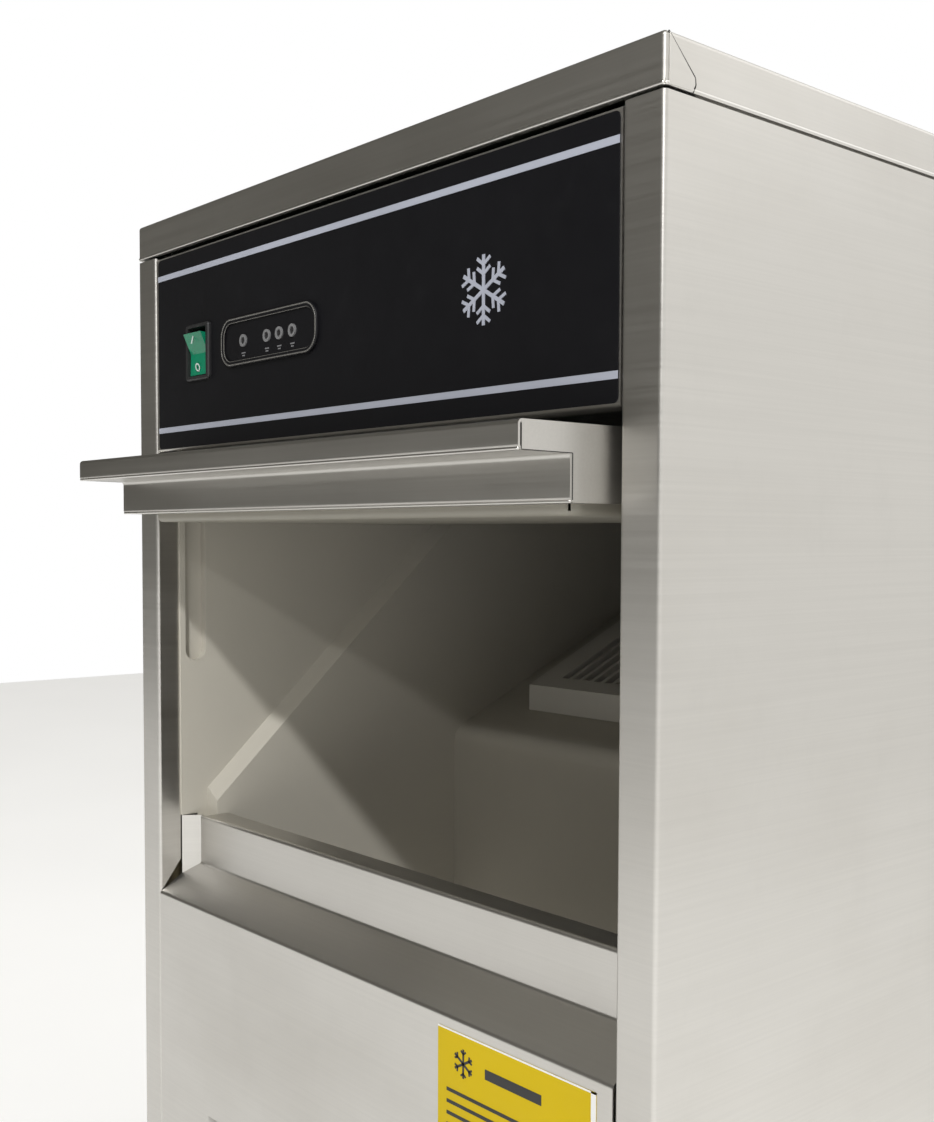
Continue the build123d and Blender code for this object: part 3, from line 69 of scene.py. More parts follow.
# ---------------------------------------------------------------- materials
class Nodes:
    """A material's node tree around one Principled shader."""

    def __init__(self, name):
        self.material = bpy.data.materials.new(name)
        self.material.use_nodes = True
        self.tree = self.material.node_tree
        self.shader = self.tree.nodes["Principled BSDF"]
        self.coords = self.tree.nodes.new("ShaderNodeTexCoord").outputs["Object"]

    def set(self, **values):
        for socket, value in values.items():
            self.shader.inputs[socket.replace("_", " ")].default_value = value

    def add(self, kind, inputs=None, **settings):
        node = self.tree.nodes.new(kind)
        for key, value in settings.items():
            setattr(node, key, value)
        for key, value in (inputs or {}).items():
            if isinstance(value, bpy.types.NodeSocket):
                self.tree.links.new(value, node.inputs[key])
            else:
                node.inputs[key].default_value = value
        return node

    def scaled(self, scale, coords=None):
        """Object coordinates, stretched by a scale for each axis."""
        node = self.add("ShaderNodeMapping", {"Vector": coords or self.coords})
        node.inputs["Scale"].default_value = scale
        return node.outputs["Vector"]

    def noise(self, scale, detail=4.0, coords=None, roughness=0.55):
        inputs = {"Vector": coords or self.coords, "Scale": scale, "Detail": detail, "Roughness": roughness}
        return self.add("ShaderNodeTexNoise", inputs).outputs["Fac"]

    def ramp(self, value, low, high, start=0.3, end=0.7):
        """Map value start..end onto numbers low..high."""
        inputs = {"Value": value, "From Min": start, "From Max": end, "To Min": low, "To Max": high}
        return self.add("ShaderNodeMapRange", inputs).outputs["Result"]

    def blend(self, value, dark, light, start=0.3, end=0.7):
        """Map value start..end onto two colours."""
        node = self.add("ShaderNodeValToRGB", {"Fac": value})
        node.color_ramp.elements[0].position = start
        node.color_ramp.elements[1].position = end
        node.color_ramp.elements[0].color = (*dark, 1)
        node.color_ramp.elements[1].color = (*light, 1)
        return node.outputs["Color"]

    def mix(self, factor, first, second, blend="MIX"):
        node = self.add("ShaderNodeMix", data_type="RGBA", blend_type=blend)
        for socket, value in ((node.inputs[0], factor), (node.inputs[6], first), (node.inputs[7], second)):
            if isinstance(value, bpy.types.NodeSocket):
                self.tree.links.new(value, socket)
            else:
                socket.default_value = value if socket.type == "VALUE" else (*value, 1)
        return node.outputs[2]

    def bump(self, height, distance, strength=1.0, onto=None):
        inputs = {"Height": height, "Distance": distance, "Strength": strength}
        if onto:
            inputs["Normal"] = onto
        return self.add("ShaderNodeBump", inputs).outputs["Normal"]

    def link(self, output, socket):
        self.tree.links.new(output, self.shader.inputs[socket])


def shade(colour, factor):
    return tuple(channel * factor for channel in colour)


def brushed_steel(name, colour, roughness, grain="walls", smudge=0.12, waviness=0.00025):
    """Brushed sheet: fine grain lines, smudges and slight waviness. grain is walls, door or posts."""
    n = Nodes(name)
    n.set(Metallic=1.0)
    stretch = {"walls": (6, 6, 900), "door": (6, 900, 900), "posts": (900, 900, 6)}[grain]
    across_top = n.scaled((6, 900, 6))
    upright = n.scaled(stretch)
    facing = n.add("ShaderNodeSeparateXYZ", {"Vector": n.add("ShaderNodeNewGeometry").outputs["Normal"]})
    upward = n.add("ShaderNodeMath", {0: facing.outputs["Z"]}, operation="ABSOLUTE").outputs[0]
    line = n.mix(upward, n.noise(1.0, 3.0, upright), n.noise(1.0, 3.0, across_top))
    stains = n.noise(5.0, 5.0, n.scaled((1, 1, 1.6)))
    marks = n.noise(38.0, 6.0, n.scaled((1, 1, 0.5)), roughness=0.7)
    lines = n.blend(line, shade(colour, 0.965), shade(colour, 1.02))
    worn = n.mix(n.ramp(stains, 0, smudge, 0.48, 0.7), lines, (0.34, 0.31, 0.26))
    n.link(n.mix(n.ramp(marks, 0, smudge, 0.55, 0.8), worn, shade(colour, 0.75)), "Base Color")
    rough = n.ramp(stains, roughness - 0.05, roughness + 0.06)
    streak = n.ramp(line, -0.025, 0.025)
    n.link(n.add("ShaderNodeMath", {0: rough, 1: streak}, operation="ADD").outputs[0], "Roughness")
    wave = n.bump(n.noise(7.0, 1.0), waviness * 4)
    n.link(n.bump(line, 0.000008, 0.5, onto=wave), "Normal")
    return n.material


def galvanised():
    n = Nodes("galvanised_sheet")
    n.set(Metallic=1.0)
    spangle = n.add("ShaderNodeTexVoronoi", {"Vector": n.coords, "Scale": 90.0}).outputs["Color"]
    grey = n.add("ShaderNodeRGBToBW", {"Color": spangle}).outputs[0]
    n.link(n.blend(grey, (0.42, 0.44, 0.45), (0.6, 0.62, 0.63), 0.1, 0.9), "Base Color")
    n.link(n.ramp(grey, 0.34, 0.5, 0.0, 1.0), "Roughness")
    n.link(n.bump(n.noise(300.0), 0.0001, 0.4), "Normal")
    return n.material


def plastic(name, colour, roughness, grain=900.0, depth=0.00004, scuff=0.12, mottle=0.08, **settings):
    """Moulded plastic: fine grain, faint mottling, scuffs that dull the gloss."""
    n = Nodes(name)
    n.set(**settings)
    cloud = n.noise(9.0, 5.0)
    base = n.blend(cloud, shade(colour, 1 - mottle), shade(colour, 1 + mottle))
    scratches = n.noise(60.0, 8.0, n.scaled((1, 4, 1)), roughness=0.75)
    dust = tuple(min(1.0, channel * 0.7 + 0.12) for channel in colour)
    n.link(n.mix(n.ramp(scratches, 0, scuff, 0.56, 0.8), base, dust), "Base Color")
    n.link(n.ramp(scratches, roughness - 0.04, roughness + 0.1), "Roughness")
    n.link(n.bump(n.noise(grain, 2.0), depth, 0.5), "Normal")
    return n.material


def bare_metal(name, colour, dark, roughness, scale=30.0):
    """Copper, brass, zinc or iron: tarnish in patches, fine tool marks."""
    n = Nodes(name)
    n.set(Metallic=1.0)
    tarnish = n.noise(scale, 6.0, roughness=0.65)
    n.link(n.blend(tarnish, dark, colour, 0.35, 0.6), "Base Color")
    n.link(n.ramp(tarnish, roughness + 0.15, roughness), "Roughness")
    n.link(n.bump(n.noise(700.0, 2.0), 0.00005, 0.5), "Normal")
    return n.material


def cellular(name, colour, scale, depth, roughness=0.9):
    """Foam or rubber with fine cells."""
    n = Nodes(name)
    cells = n.add("ShaderNodeTexVoronoi", {"Vector": n.coords, "Scale": scale}).outputs["Distance"]
    n.link(n.blend(cells, shade(colour, 0.8), colour, 0.0, 0.6), "Base Color")
    n.link(n.ramp(cells, roughness - 0.1, roughness, 0.0, 0.6), "Roughness")
    n.link(n.bump(cells, depth, 0.6), "Normal")
    return n.material


def painted(name, colour, roughness):
    """Glossy enamel with orange peel and dust on top."""
    n = Nodes(name)
    n.set(Coat_Weight=0.4, Coat_Roughness=0.12)
    peel = n.noise(160.0, 2.0)
    dust = n.noise(14.0, 6.0)
    n.link(n.blend(dust, colour, shade(colour, 2.2), 0.5, 0.75), "Base Color")
    n.link(n.ramp(dust, roughness, roughness + 0.2), "Roughness")
    n.link(n.bump(peel, 0.0002, 0.3), "Normal")
    return n.material


def finned(name, colour):
    """Thin upright fins packed side by side, with painted shade darkening the gaps between them."""
    n = Nodes(name)
    n.set(Metallic=1.0)
    shaded_gaps = n.add("ShaderNodeTexWave", {"Vector": n.coords, "Scale": 100.0}, bands_direction="X").outputs["Fac"]
    # painted shade: the gaps between the fins are coloured far darker than the fins
    n.link(n.blend(shaded_gaps, shade(colour, 0.15), colour, 0.25, 0.6), "Base Color")
    n.link(n.ramp(n.noise(40.0), 0.35, 0.55), "Roughness")
    n.link(n.bump(shaded_gaps, 0.0006, 0.8), "Normal")
    return n.material


def circuit():
    """Green solder mask with lighter tracks."""
    n = Nodes("board_green")
    tracks = n.add("ShaderNodeTexBrick", {"Vector": n.coords, "Scale": 60.0, "Mortar Size": 0.06})
    tracks.inputs["Color1"].default_value = (0.02, 0.14, 0.06, 1)
    tracks.inputs["Color2"].default_value = (0.015, 0.11, 0.05, 1)
    tracks.inputs["Mortar"].default_value = (0.05, 0.27, 0.12, 1)
    n.link(tracks.outputs["Color"], "Base Color")
    n.link(n.ramp(n.noise(50.0), 0.3, 0.5), "Roughness")
    n.link(n.bump(tracks.outputs["Fac"], 0.0001, 0.4), "Normal")
    return n.material


STEEL = (0.60, 0.585, 0.555)
MATERIALS = {
    "casing_steel": brushed_steel("casing_steel", STEEL, 0.36),
    "door_steel": brushed_steel("door_steel", shade(STEEL, 0.93), 0.34, grain="door"),
    "galvanised_sheet": galvanised(),
    "zinc_hardware": bare_metal("zinc_hardware", (0.62, 0.62, 0.6), (0.4, 0.41, 0.4), 0.3, 60.0),
    "black_plastic": plastic("black_plastic", (0.018, 0.018, 0.019), 0.42, depth=0.00006),
    "black_fascia": plastic("black_fascia", (0.0055, 0.0055, 0.007), 0.42, grain=1500.0, scuff=0.02, Specular_IOR_Level=0.22),
    "stripe_ink": plastic("stripe_ink", (0.40, 0.42, 0.49), 0.45, grain=1500.0, scuff=0.1),
    "green_lens": plastic("green_lens", (0.0, 0.23, 0.115), 0.3, grain=300.0, mottle=0.3, Coat_Weight=0.15),
    "grey_lens": plastic("grey_lens", (0.20, 0.20, 0.21), 0.3, grain=400.0),
    "board_green": circuit(),
    "liner_plastic": plastic("liner_plastic", (0.485, 0.46, 0.40), 0.36, grain=260.0, depth=0.00012, mottle=0.04),
    "foam": cellular("foam", (0.75, 0.66, 0.40), 420.0, 0.0004),
    "slide_plastic": plastic("slide_plastic", (0.75, 0.75, 0.7), 0.4),
    "copper": bare_metal("copper", (0.78, 0.40, 0.26), (0.38, 0.19, 0.12), 0.28),
    "white_plastic": plastic("white_plastic", (0.60, 0.58, 0.53), 0.42, mottle=0.05),
    "clear_hose": plastic("clear_hose", (0.55, 0.57, 0.54), 0.3, grain=200.0),
    "smoke_plastic": plastic("smoke_plastic", (0.03, 0.03, 0.032), 0.3),
    "brass_parts": bare_metal("brass_parts", (0.75, 0.56, 0.27), (0.45, 0.31, 0.14), 0.3),
    "black_paint": painted("black_paint", (0.012, 0.012, 0.013), 0.2),
    "rubber": cellular("rubber", (0.02, 0.02, 0.02), 900.0, 0.0001),
    "fin_aluminium": finned("fin_aluminium", (0.75, 0.76, 0.77)),
    "motor_iron": bare_metal("motor_iron", (0.3, 0.3, 0.31), (0.14, 0.14, 0.14), 0.45),
    "label_yellow": plastic("label_yellow", (0.60, 0.43, 0.0), 0.5, scuff=0.04, mottle=0.04, Specular_IOR_Level=0.2),
    "label_white": plastic("label_white", (0.8, 0.8, 0.78), 0.4, scuff=0.05, mottle=0.03),
    # painted shadow: dark beads that stand for the shade inside sheet joints
    "seam_shadow": plastic("seam_shadow", (0.035, 0.033, 0.03), 0.7),
    "print_black": plastic("print_black", (0.02, 0.02, 0.02), 0.5),
    # painted highlight: a lighter copy of the casing steel that paints the bright highlight along hems and folds
    "painted_highlight_steel": brushed_steel("painted_highlight_steel", (0.66, 0.645, 0.615), 0.3, smudge=0.03),
    # painted shade: the door's inner pan is liner plastic, darkened to paint the shadow under the open door
    "door_liner_painted_shade": plastic("door_liner_painted_shade", (0.27, 0.255, 0.215), 0.45, grain=260.0, depth=0.00012, mottle=0.05),
    "rim_plastic": plastic("rim_plastic", (0.13, 0.125, 0.115), 0.25, Coat_Weight=0.6),
    "lamp_dark": plastic("lamp_dark", (0.02, 0.02, 0.022), 0.2, grain=400.0, Coat_Weight=0.5),
    "lamp_ring": plastic("lamp_ring", (0.20, 0.20, 0.205), 0.35),
    "mark_white": plastic("mark_white", (0.6, 0.66, 0.64), 0.4),
}
NODE_MATERIALS = {"door_outer_pan": "door_steel", "door_inner_pan": "door_liner_painted_shade", "indicator_bezel": "black_fascia", "indicator_lamps": "lamp_ring"}


def dress_nodes():
    """Give every CAD node its own procedural material."""
    for part in frame["record"]["subparts"]:
        node = frame["nodes"][part["node"]]
        name = NODE_MATERIALS.get(part["node"], part["material_slot"])
        node.data.materials.clear()
        node.data.materials.append(MATERIALS[name])


# ---------------------------------------------------------------- mesh helpers
def piece(name, bm, material, body):
    """Turn a bmesh into a finished piece that rides on a body."""
    bmesh.ops.recalc_face_normals(bm, faces=bm.faces)
    mesh = bpy.data.meshes.new(name)
    bm.to_mesh(mesh)
    bm.free()
    mesh.materials.append(MATERIALS[material])
    obj = bpy.data.objects.new(name, mesh)
    bpy.context.scene.collection.objects.link(obj)
    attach(obj, body)
    return obj


def soften(obj, width, segments=2):
    """Round a piece's edges."""
    bevel = obj.modifiers.new("soft_edges", "BEVEL")
    bevel.width = width
    bevel.segments = segments
    bevel.limit_method = "ANGLE"
    obj.modifiers.new("even_shading", "WEIGHTED_NORMAL")
    for face in obj.data.polygons:
        face.use_smooth = True
    return obj


def bead(bm, start, end, radius, sides=12):
    """Add a straight round bar with domed ends."""
    start, end = Vector(start), Vector(end)
    along = (end - start).normalized()
    turn = along.to_track_quat("Z", "Y").to_matrix()
    rings = []
    for centre, inset, share in ((start, 0, 0.5), (start, 1, 1), (end, -1, 1), (end, 0, 0.5)):
        middle = centre + along * inset * radius * 0.5
        ring = []
        for k in range(sides):
            angle = 2 * math.pi * k / sides
            spoke = turn @ Vector((math.cos(angle), math.sin(angle), 0))
            ring.append(bm.verts.new(middle + spoke * radius * share))
        rings.append(ring)
    for first, second in zip(rings, rings[1:]):
        for k in range(sides):
            bm.faces.new((first[k], first[(k + 1) % sides], second[(k + 1) % sides], second[k]))
    bm.faces.new(rings[0])
    bm.faces.new(reversed(rings[-1]))


def slab(bm, outline, normal, thickness):
    """Add a flat plate: a closed outline of points, thickened along normal."""
    base = [bm.verts.new(Vector(p)) for p in outline]
    top = [bm.verts.new(Vector(p) + Vector(normal) * thickness) for p in outline]
    bm.faces.new(base)
    bm.faces.new(reversed(top))
    count = len(base)
    for k in range(count):
        bm.faces.new((base[k], base[(k + 1) % count], top[(k + 1) % count], top[k]))


def front_plate(bm, x0, x1, z0, z1, y, thickness):
    """Add a rectangle that faces the front."""
    slab(bm, [(x0, y, z0), (x1, y, z0), (x1, y, z1), (x0, y, z1)], (0, -1, 0), thickness)


# ---------------------------------------------------------------- lid and casing details
LID_LOW, LID_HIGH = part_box("top_lid")


def side_points(x, points):
    """(depth behind the lid's front, drop below its top) pairs as points on a side face."""
    return [(x, LID_LOW.y + depth * MM, LID_HIGH.z - drop * MM) for depth, drop in points]


def lid_corner_tab(side):
    """The front flange's end, folded round the corner and tucked over the side flange."""
    outline = [(2.0, 0.9), (16.2, 14.2), (16.4, 16.6), (15.0, 18.9), (2.0, 19.3)]
    bm = bmesh.new()
    slab(bm, side_points(side * LID_HIGH.x, outline), (side, 0, 0), 0.35 * MM)
    tab = piece(f"lid_corner_tab_{NAMES[side]}", bm, "casing_steel", "cabinet")
    soften(tab, 0.15 * MM)


def lid_corner_seam(side):
    """The painted shadow line in the joint along the tab's edge."""
    outline = [(1.6, 0.5), (16.6, 14.0), (16.9, 16.7), (15.4, 19.4)]
    points = side_points(side * LID_HIGH.x, outline)
    bm = bmesh.new()
    for start, end in zip(points, points[1:]):
        bead(bm, start, end, 0.32 * MM)
    seam = piece(f"lid_corner_seam_{NAMES[side]}", bm, "seam_shadow", "cabinet")
    soften(seam, 0.05 * MM, 1)


def lid_hem():
    """The rolled lower edge of the lid's flange, round all four sides, in lighter steel that paints the hem's
    highlight.
    """
    z = LID_LOW.z + 0.9 * MM
    inset = 0.65 * MM
    x0, x1 = LID_LOW.x + inset, LID_HIGH.x - inset
    y0, y1 = LID_LOW.y + inset, LID_HIGH.y - inset
    corners = [(x0, y0, z), (x1, y0, z), (x1, y1, z), (x0, y1, z)]
    bm = bmesh.new()
    for k in range(4):
        bead(bm, corners[k], corners[(k + 1) % 4], 0.95 * MM, 16)
    soften(piece("lid_hem", bm, "painted_highlight_steel", "cabinet"), 0.1 * MM, 1)


def edge_bead(name, start, end, radius, body="cabinet", material="painted_highlight_steel"):
    """A fold line along a sheet's edge, in lighter steel that paints the fold's highlight."""
    bm = bmesh.new()
    bead(bm, start, end, radius, 16)
    return soften(piece(name, bm, material, body), 0.05 * MM, 1)


def louvre_hoods(name, panel, outward, width, columns, rows, first_z, pitch):
    """Pressed hoods over a panel's louvre slots."""
    low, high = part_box(panel)
    face = low.y if outward < 0 else high.y
    bm = bmesh.new()
    for x in columns:
        for row in range(rows):
            z = first_z + row * pitch
            hood(bm, x, face, z, width, outward)
    soften(piece(name, bm, "casing_steel" if outward < 0 else "galvanised_sheet", "cabinet"), 0.2 * MM)


def hood(bm, x, face, z, width, outward, reach=2.6 * MM, height=6.5 * MM, steps=24):
    """Add one louvre hood: a shell that leans out from its top edge to an open lower edge."""
    rows = []
    for level in range(7):
        share = level / 6
        out = reach * math.sin(share * math.pi / 2)
        row = []
        for k in range(steps + 1):
            across = 2 * k / steps - 1
            round_off = max(0.0, 1 - abs(across) ** 10) ** 0.5
            px = x + across * width / 2
            pz = z + height * (0.6 - share)
            row.append(bm.verts.new((px, face + outward * (0.05 * MM + out * round_off), pz)))
        rows.append(row)
    for first, second in zip(rows, rows[1:]):
        for k in range(steps):
            bm.faces.new((first[k], first[k + 1], second[k + 1], second[k]))


# ---------------------------------------------------------------- control panel details
def rocker_marks():
    """The plain on and off marks printed on the rocker."""
    low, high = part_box("switch_rocker")
    middle = (low + high) / 2
    bm = bmesh.new()
    front = low.y
    slope = math.radians(ROCKER_LEAN)
    stroke(bm, middle.x, front + 0.35 * MM, middle.z + 7.4 * MM, 0.9 * MM, 4.4 * MM, -slope)
    ring(bm, middle.x, front + 3.6 * MM, middle.z - 7.2 * MM, 2.3 * MM, 0.75 * MM, slope)
    soften(piece("rocker_marks", bm, "mark_white", "power_switch"), 0.05 * MM, 1)


ROCKER_LEAN = 13.0


def stroke(bm, x, y, z, width, height, lean):
    """Add an upright bar on a leaning face."""
    matrix = Matrix.Translation((x, y, z)) @ Matrix.Rotation(lean, 4, "X")
    size = Matrix.Diagonal((width, 0.3 * MM, height, 1))
    bmesh.ops.create_cube(bm, size=1.0, matrix=matrix @ size)


def ring(bm, x, y, z, radius, width, lean, sides=32):
    """Add a flat ring on a leaning face."""
    matrix = Matrix.Translation((x, y, z)) @ Matrix.Rotation(lean, 4, "X")
    loops = []
    for r, depth in ((radius - width, 0.15), (radius, 0.15), (radius, -0.15), (radius - width, -0.15)):
        loop = []
        for k in range(sides):
            angle = 2 * math.pi * k / sides
            loop.append(bm.verts.new(matrix @ Vector((r * math.cos(angle), -depth * MM, r * math.sin(angle)))))
        loops.append(loop)
    for first, second in zip(loops, loops[1:] + loops[:1]):
        for k in range(sides):
            bm.faces.new((first[k], first[(k + 1) % sides], second[(k + 1) % sides], second[k]))


def lamp_marks():
    """Small plain symbols printed under the lamps: a long bar over a short bar under each."""
    low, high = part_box("indicator_bezel")
    middle = (low + high) / 2
    y = low.y + 1.15 * MM
    z = middle.z - 6.4 * MM
    bm = bmesh.new()
    for offset in LAMP_OFFSETS:
        x = middle.x + offset * MM
        front_plate(bm, x - 1.9 * MM, x + 1.9 * MM, z - 0.35 * MM, z + 0.35 * MM, y, 0.12 * MM)
        front_plate(bm, x - 1.2 * MM, x + 1.2 * MM, z - 1.7 * MM, z - 1.0 * MM, y, 0.12 * MM)
    soften(piece("lamp_marks", bm, "grey_lens", "cabinet"), 0.04 * MM, 1)


def indicator_rim():
    """Two fine raised lines round the indicator dish: the rim's crest and its inner edge."""
    low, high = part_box("indicator_bezel")
    middle = (low + high) / 2
    bm = bmesh.new()
    for inset, depth, radius in ((0.9, 0.1, 0.42), (2.6, 0.5, 0.3)):
        half_x = (high.x - low.x) / 2 - inset * MM
        half_z = (high.z - low.z) / 2 - inset * MM
        corner = RIM_CORNER - inset * MM
        points = []
        for k in range(48):
            angle = 2 * math.pi * (k + 0.5) / 48
            x = math.copysign(half_x - corner, math.cos(angle)) + corner * math.cos(angle)
            z = math.copysign(half_z - corner, math.sin(angle)) + corner * math.sin(angle)
            points.append((middle.x + x, low.y + depth * MM, middle.z + z))
        for start, end in zip(points, points[1:] + points[:1]):
            bead(bm, start, end, radius * MM, 10)
    soften(piece("indicator_rim", bm, "rim_plastic", "cabinet"), 0.03 * MM, 1)


RIM_CORNER = 10.0 * MM
LAMP_OFFSETS = (-23.3, -0.7, 10.7, 22.5)


def lamp_lenses():
    """Dark domed lenses inside the four lamp collars."""
    low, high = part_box("indicator_lamps")
    middle = (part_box("indicator_bezel")[0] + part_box("indicator_bezel")[1]) / 2
    bm = bmesh.new()
    for offset in LAMP_OFFSETS:
        place = Matrix.Translation((middle.x + offset * MM, low.y + 0.45 * MM, middle.z))
        size = Matrix.Diagonal((1.85 * MM, 0.35 * MM, 1.85 * MM, 1))
        bmesh.ops.create_uvsphere(bm, u_segments=32, v_segments=16, radius=1.0, matrix=place @ size)
    lenses = piece("lamp_lenses", bm, "lamp_dark", "cabinet")
    for face in lenses.data.polygons:
        face.use_smooth = True


def label_print():
    """White margin and plain printed bars on the yellow label. They carry no words."""
    low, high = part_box("care_label")
    x0, x1, z0, z1, y = low.x, high.x, low.z, high.z, low.y
    edge, lift = 2.6 * MM, 0.12 * MM
    bm = bmesh.new()
    front_plate(bm, x0, x1, z1 - edge * 0.3, z1, y, lift)
    front_plate(bm, x0, x1, z0, z0 + edge * 0.3, y, lift)
    front_plate(bm, x1 - edge, x1, z0, z1, y, lift)
    piece("label_margin", bm, "label_white", "cabinet")
    bm = bmesh.new()
    icon_x, icon_z = x0 + 17 * MM, z1 - 13 * MM
    flake(bm, icon_x, icon_z, y, 6.4 * MM)
    front_plate(bm, icon_x + 14 * MM, icon_x + 48 * MM, icon_z - 2.2 * MM, icon_z + 2.2 * MM, y, lift)
    for k, share in enumerate((0.9, 0.82, 0.88, 0.6, 0.9, 0.78, 0.85, 0.5)):
        z = z1 - (27 + 5.2 * k) * MM
        if z - 2 * MM < z0:
            break
        front_plate(bm, x0 + 6 * MM, x0 + (x1 - x0 - edge) * share, z - 0.8 * MM, z + 0.8 * MM, y, lift)
    piece("label_bars", bm, "print_black", "cabinet")


def flake(bm, x, z, y, radius):
    """Add a plain six-armed snow mark."""
    for k in range(3):
        matrix = Matrix.Translation((x, y - 0.06 * MM, z)) @ Matrix.Rotation(math.pi * k / 3, 4, "Y")
        bmesh.ops.create_cube(bm, size=1.0, matrix=matrix @ Matrix.Diagonal((1.1 * MM, 0.12 * MM, 2 * radius, 1)))
    for k in range(6):
        turn = Matrix.Translation((x, y - 0.06 * MM, z)) @ Matrix.Rotation(math.pi * k / 3, 4, "Y")
        for lean in (-1, 1):
            twig = turn @ Matrix.Translation((0, 0, radius * 0.66)) @ Matrix.Rotation(lean * 0.9, 4, "Y")
            twig = twig @ Matrix.Translation((0, 0, radius * 0.16))
            bmesh.ops.create_cube(bm, size=1.0, matrix=twig @ Matrix.Diagonal((0.9 * MM, 0.12 * MM, radius * 0.34, 1)))


# ---------------------------------------------------------------- door details
def door_trim():
    """Folded edges of the door's lip and lower band in lighter steel that paints their highlight, and painted shadow
    lines in the joints at their ends.
    """
    low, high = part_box("door_outer_pan")
    top, half = high.z, high.x
    lip_front, lip_under = low.y, high.z - 11.0 * MM
    band_front, band_under = low.y + 26.0 * MM, low.z
    r = 0.55 * MM
    edge_bead("door_lip_edge", (-half, lip_front + r, lip_under + r), (half, lip_front + r, lip_under + r), r * 1.2, "door")
    edge_bead("door_band_edge", (-half, band_front + r, band_under + r), (half, band_front + r, band_under + r), r * 1.2, "door")
    for side in (-1, 1):
        x = side * (half + 0.02 * MM)
        bm = bmesh.new()
        front, back = lip_front + 1.6 * MM, band_front + 1.2 * MM
        bead(bm, (x, front, top - 1.5 * MM), (x, front, lip_under + 0.4 * MM), 0.22 * MM)
        bead(bm, (x, back, lip_under), (x, back, band_under + 1.0 * MM), 0.25 * MM)
        bead(bm, (x, front, lip_under + 0.2 * MM), (x, back, lip_under), 0.2 * MM)
        piece(f"door_end_seam_{NAMES[side]}", bm, "seam_shadow", "door")


# ---------------------------------------------------------------- rear details
def inlet_thread():
    """Rounded thread turns on the water inlet's spigot."""
    low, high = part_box("water_valve")
    x, z = (low.x + high.x) / 2, 0.2212
    bm = bmesh.new()
    turns, pitch, radius = 7.5, 1.8 * MM, 13.15 * MM
    steps = int(turns * 36)
    start = high.y - 1.5 * MM - turns * pitch
    previous = None
    for k in range(steps + 1):
        angle = 2 * math.pi * k / 36
        y = start + pitch * k / 36
        ring_now = []
        for dr, dy in ((0, -0.6), (0.35, 0), (0, 0.6)):
            r = radius + dr * MM
            ring_now.append(bm.verts.new((x + r * math.cos(angle), y + dy * MM, z + r * math.sin(angle))))
        if previous:
            for i in range(2):
                bm.faces.new((previous[i], previous[i + 1], ring_now[i + 1], ring_now[i]))
        previous = ring_now
    piece("inlet_thread", bm, "white_plastic", "cabinet")


def rating_plate():
    """A blank metal plate with printed bars, riveted to the back."""
    low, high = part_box("rear_panel")
    y = high.y
    x0, x1, z0, z1 = 0.02, 0.11, 0.30, 0.35
    bm = bmesh.new()
    slab(bm, [(x0, y, z0), (x1, y, z0), (x1, y, z1), (x0, y, z1)], (0, 1, 0), 0.5 * MM)
    soften(piece("rating_plate", bm, "zinc_hardware", "cabinet"), 0.2 * MM)
    bm = bmesh.new()
    lift = 0.1 * MM
    for k in range(5):
        z = z1 - (9 + 8 * k) * MM
        share = (0.5, 0.8, 0.75, 0.85, 0.6)[k]
        x_end = x1 - 6 * MM
        x_start = x_end - (x1 - x0 - 12 * MM) * share
        slab(bm, [(x_start, y + 0.5 * MM, z), (x_end, y + 0.5 * MM, z), (x_end, y + 0.5 * MM, z + 1.6 * MM),
                  (x_start, y + 0.5 * MM, z + 1.6 * MM)], (0, 1, 0), lift)
    piece("rating_plate_bars", bm, "print_black", "cabinet")
    for side in (x0 + 3 * MM, x1 - 3 * MM):
        for z in (z0 + 3 * MM, z1 - 3 * MM):
            bm = bmesh.new()
            rivet = Matrix.Translation((side, y + 0.7 * MM, z)) @ Matrix.Diagonal((1, 0.6, 1, 1))
            bmesh.ops.create_icosphere(bm, subdivisions=3, radius=1.4 * MM, matrix=rivet)
            name = f"plate_rivet_{'a' if side < 0.06 else 'b'}{'low' if z < 0.32 else 'high'}"
            piece(name, bm, "zinc_hardware", "cabinet")


NAMES = {-1: "left", 1: "right"}


# ---------------------------------------------------------------- stage, light, camera
def world():
    """Soft studio surround: bright behind and to the right, dim to the front left above the floor."""
    sky = bpy.data.worlds.new("studio")
    bpy.context.scene.world = sky
    sky.use_nodes = True
    tree = sky.node_tree
    new, link = tree.nodes.new, tree.links.new
    background = tree.nodes["Background"]
    direction = new("ShaderNodeTexCoord").outputs["Generated"]
    axis = new("ShaderNodeVectorMath")
    axis.operation = "DOT_PRODUCT"
    axis.inputs[1].default_value = DIM_SIDE
    link(direction, axis.inputs[0])
    ramp = new("ShaderNodeValToRGB")
    ramp.color_ramp.elements[0].position = 0.30
    ramp.color_ramp.elements[0].color = (*WORLD_BRIGHT, 1)
    ramp.color_ramp.elements[1].position = 0.70
    ramp.color_ramp.elements[1].color = (*WORLD_DIM, 1)
    span = new("ShaderNodeMapRange")
    span.inputs["From Min"].default_value = -1.0
    span.inputs["From Max"].default_value = 1.0
    link(axis.outputs["Value"], span.inputs["Value"])
    link(span.outputs["Result"], ramp.inputs["Fac"])
    eye = new("ShaderNodeLightPath").outputs["Is Camera Ray"]
    mix = new("ShaderNodeMix")
    mix.data_type = "RGBA"
    link(eye, mix.inputs[0])
    link(ramp.outputs["Color"], mix.inputs[6])
    mix.inputs[7].default_value = (*BACKDROP, 1)
    link(mix.outputs[2], background.inputs["Color"])
    background.inputs["Strength"].default_value = 1.0


DIM_SIDE = Vector((-0.62, -0.66, 0.42)).normalized()
WORLD_BRIGHT = (1.0, 0.99, 0.965)
WORLD_DIM = (0.115, 0.11, 0.097)
BACKDROP = (1.0, 1.0, 1.0)
bpy.context.scene.view_settings.view_transform = "Standard"


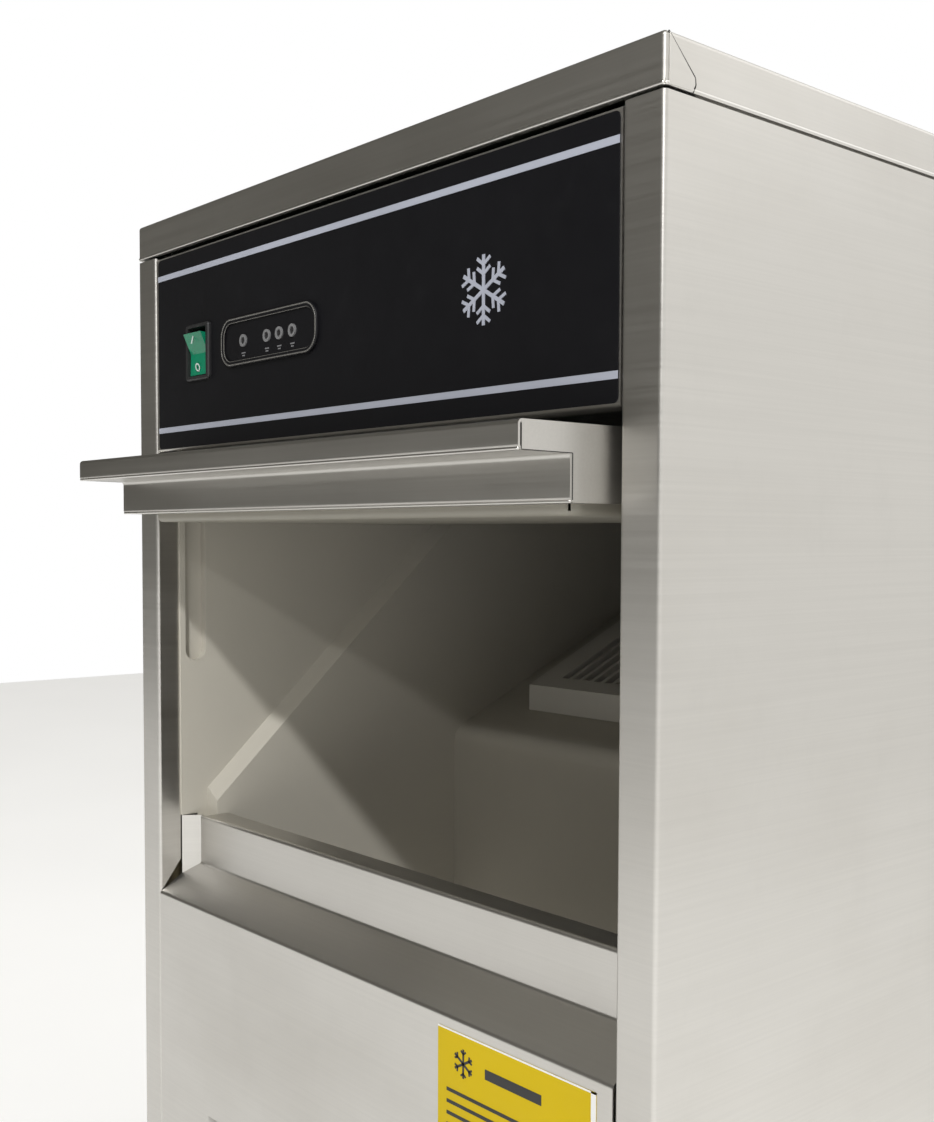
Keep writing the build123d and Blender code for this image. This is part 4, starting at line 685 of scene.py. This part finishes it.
def floor():
    bm = bmesh.new()
    bmesh.ops.create_grid(bm, x_segments=24, y_segments=24, size=4.0)
    mesh = bpy.data.meshes.new("floor")
    bm.to_mesh(mesh)
    bm.free()
    obj = bpy.data.objects.new("floor", mesh)
    bpy.context.scene.collection.objects.link(obj)
    n = Nodes("pale_floor")
    n.link(n.blend(n.noise(2.0), (0.84, 0.84, 0.83), (0.88, 0.88, 0.87)), "Base Color")
    n.link(n.ramp(n.noise(6.0), 0.7, 0.8), "Roughness")
    n.set(Emission_Color=(1.0, 0.99, 0.97, 1.0), Emission_Strength=0.4)
    mesh.materials.append(n.material)


def lamp(name, direction, distance, size, watts, target):
    data = bpy.data.lights.new(name, "AREA")
    data.size = size
    data.energy = watts
    obj = bpy.data.objects.new(name, data)
    away = Vector(direction).normalized()
    obj.location = target + away * distance
    obj.rotation_euler = away.to_track_quat("Z", "Y").to_euler()
    bpy.context.scene.collection.objects.link(obj)


def lights():
    """Two lamps over the front right, a wide soft light over the rear right."""
    low, high = CAD_BOX
    mouth = Vector((0, low.y + 0.1, (low.z + high.z) * 0.6))
    side = 0.64
    for name, slope, watts in (("key_low", 31.0, 10.0), ("key_high", 48.8, 62.0)):
        rise = math.tan(math.radians(slope)) * math.cos(math.asin(side))
        lamp(name, (side, -math.cos(math.asin(side)), rise), 3.2, 0.1, watts, mouth)
    lamp("rear_soft", (0.5, 0.8, 0.9), 3.4, 2.6, 16.0, mouth)


CAMERA_PLACE = (0.5108, -0.60995, 0.5144)
CAMERA_AZIMUTH = 49.41
CAMERA_PITCH = -2.78
CAMERA_ROLL = 0.18


def camera():
    data = bpy.data.cameras.new("camera")
    data.lens = 42.0
    data.sensor_width = 36.0
    data.shift_x = 0.0099
    data.shift_y = 0.0359
    data.clip_start = 0.01
    obj = bpy.data.objects.new("camera", data)
    obj.location = CAMERA_PLACE
    aim = Euler((math.radians(90 + CAMERA_PITCH), 0, math.radians(CAMERA_AZIMUTH))).to_matrix()
    roll = Matrix.Rotation(math.radians(CAMERA_ROLL), 3, "Z")
    obj.rotation_euler = (aim @ roll).to_euler()
    bpy.context.scene.collection.objects.link(obj)
    bpy.context.scene.camera = obj


dress_nodes()
for side in (-1, 1):
    lid_corner_tab(side)
    lid_corner_seam(side)
lid_hem()
louvre_hoods("front_louvres", "lower_front_panel", -1, 0.25, (0,), 9, 0.0662, 0.015)
louvre_hoods("rear_louvres", "rear_panel", 1, 0.1, (-0.07, 0.07), 9, 0.0782, 0.015)
rocker_marks()
lamp_marks()
indicator_rim()
lamp_lenses()
label_print()
door_trim()
inlet_thread()
rating_plate()
world()
floor()
lights()
camera()
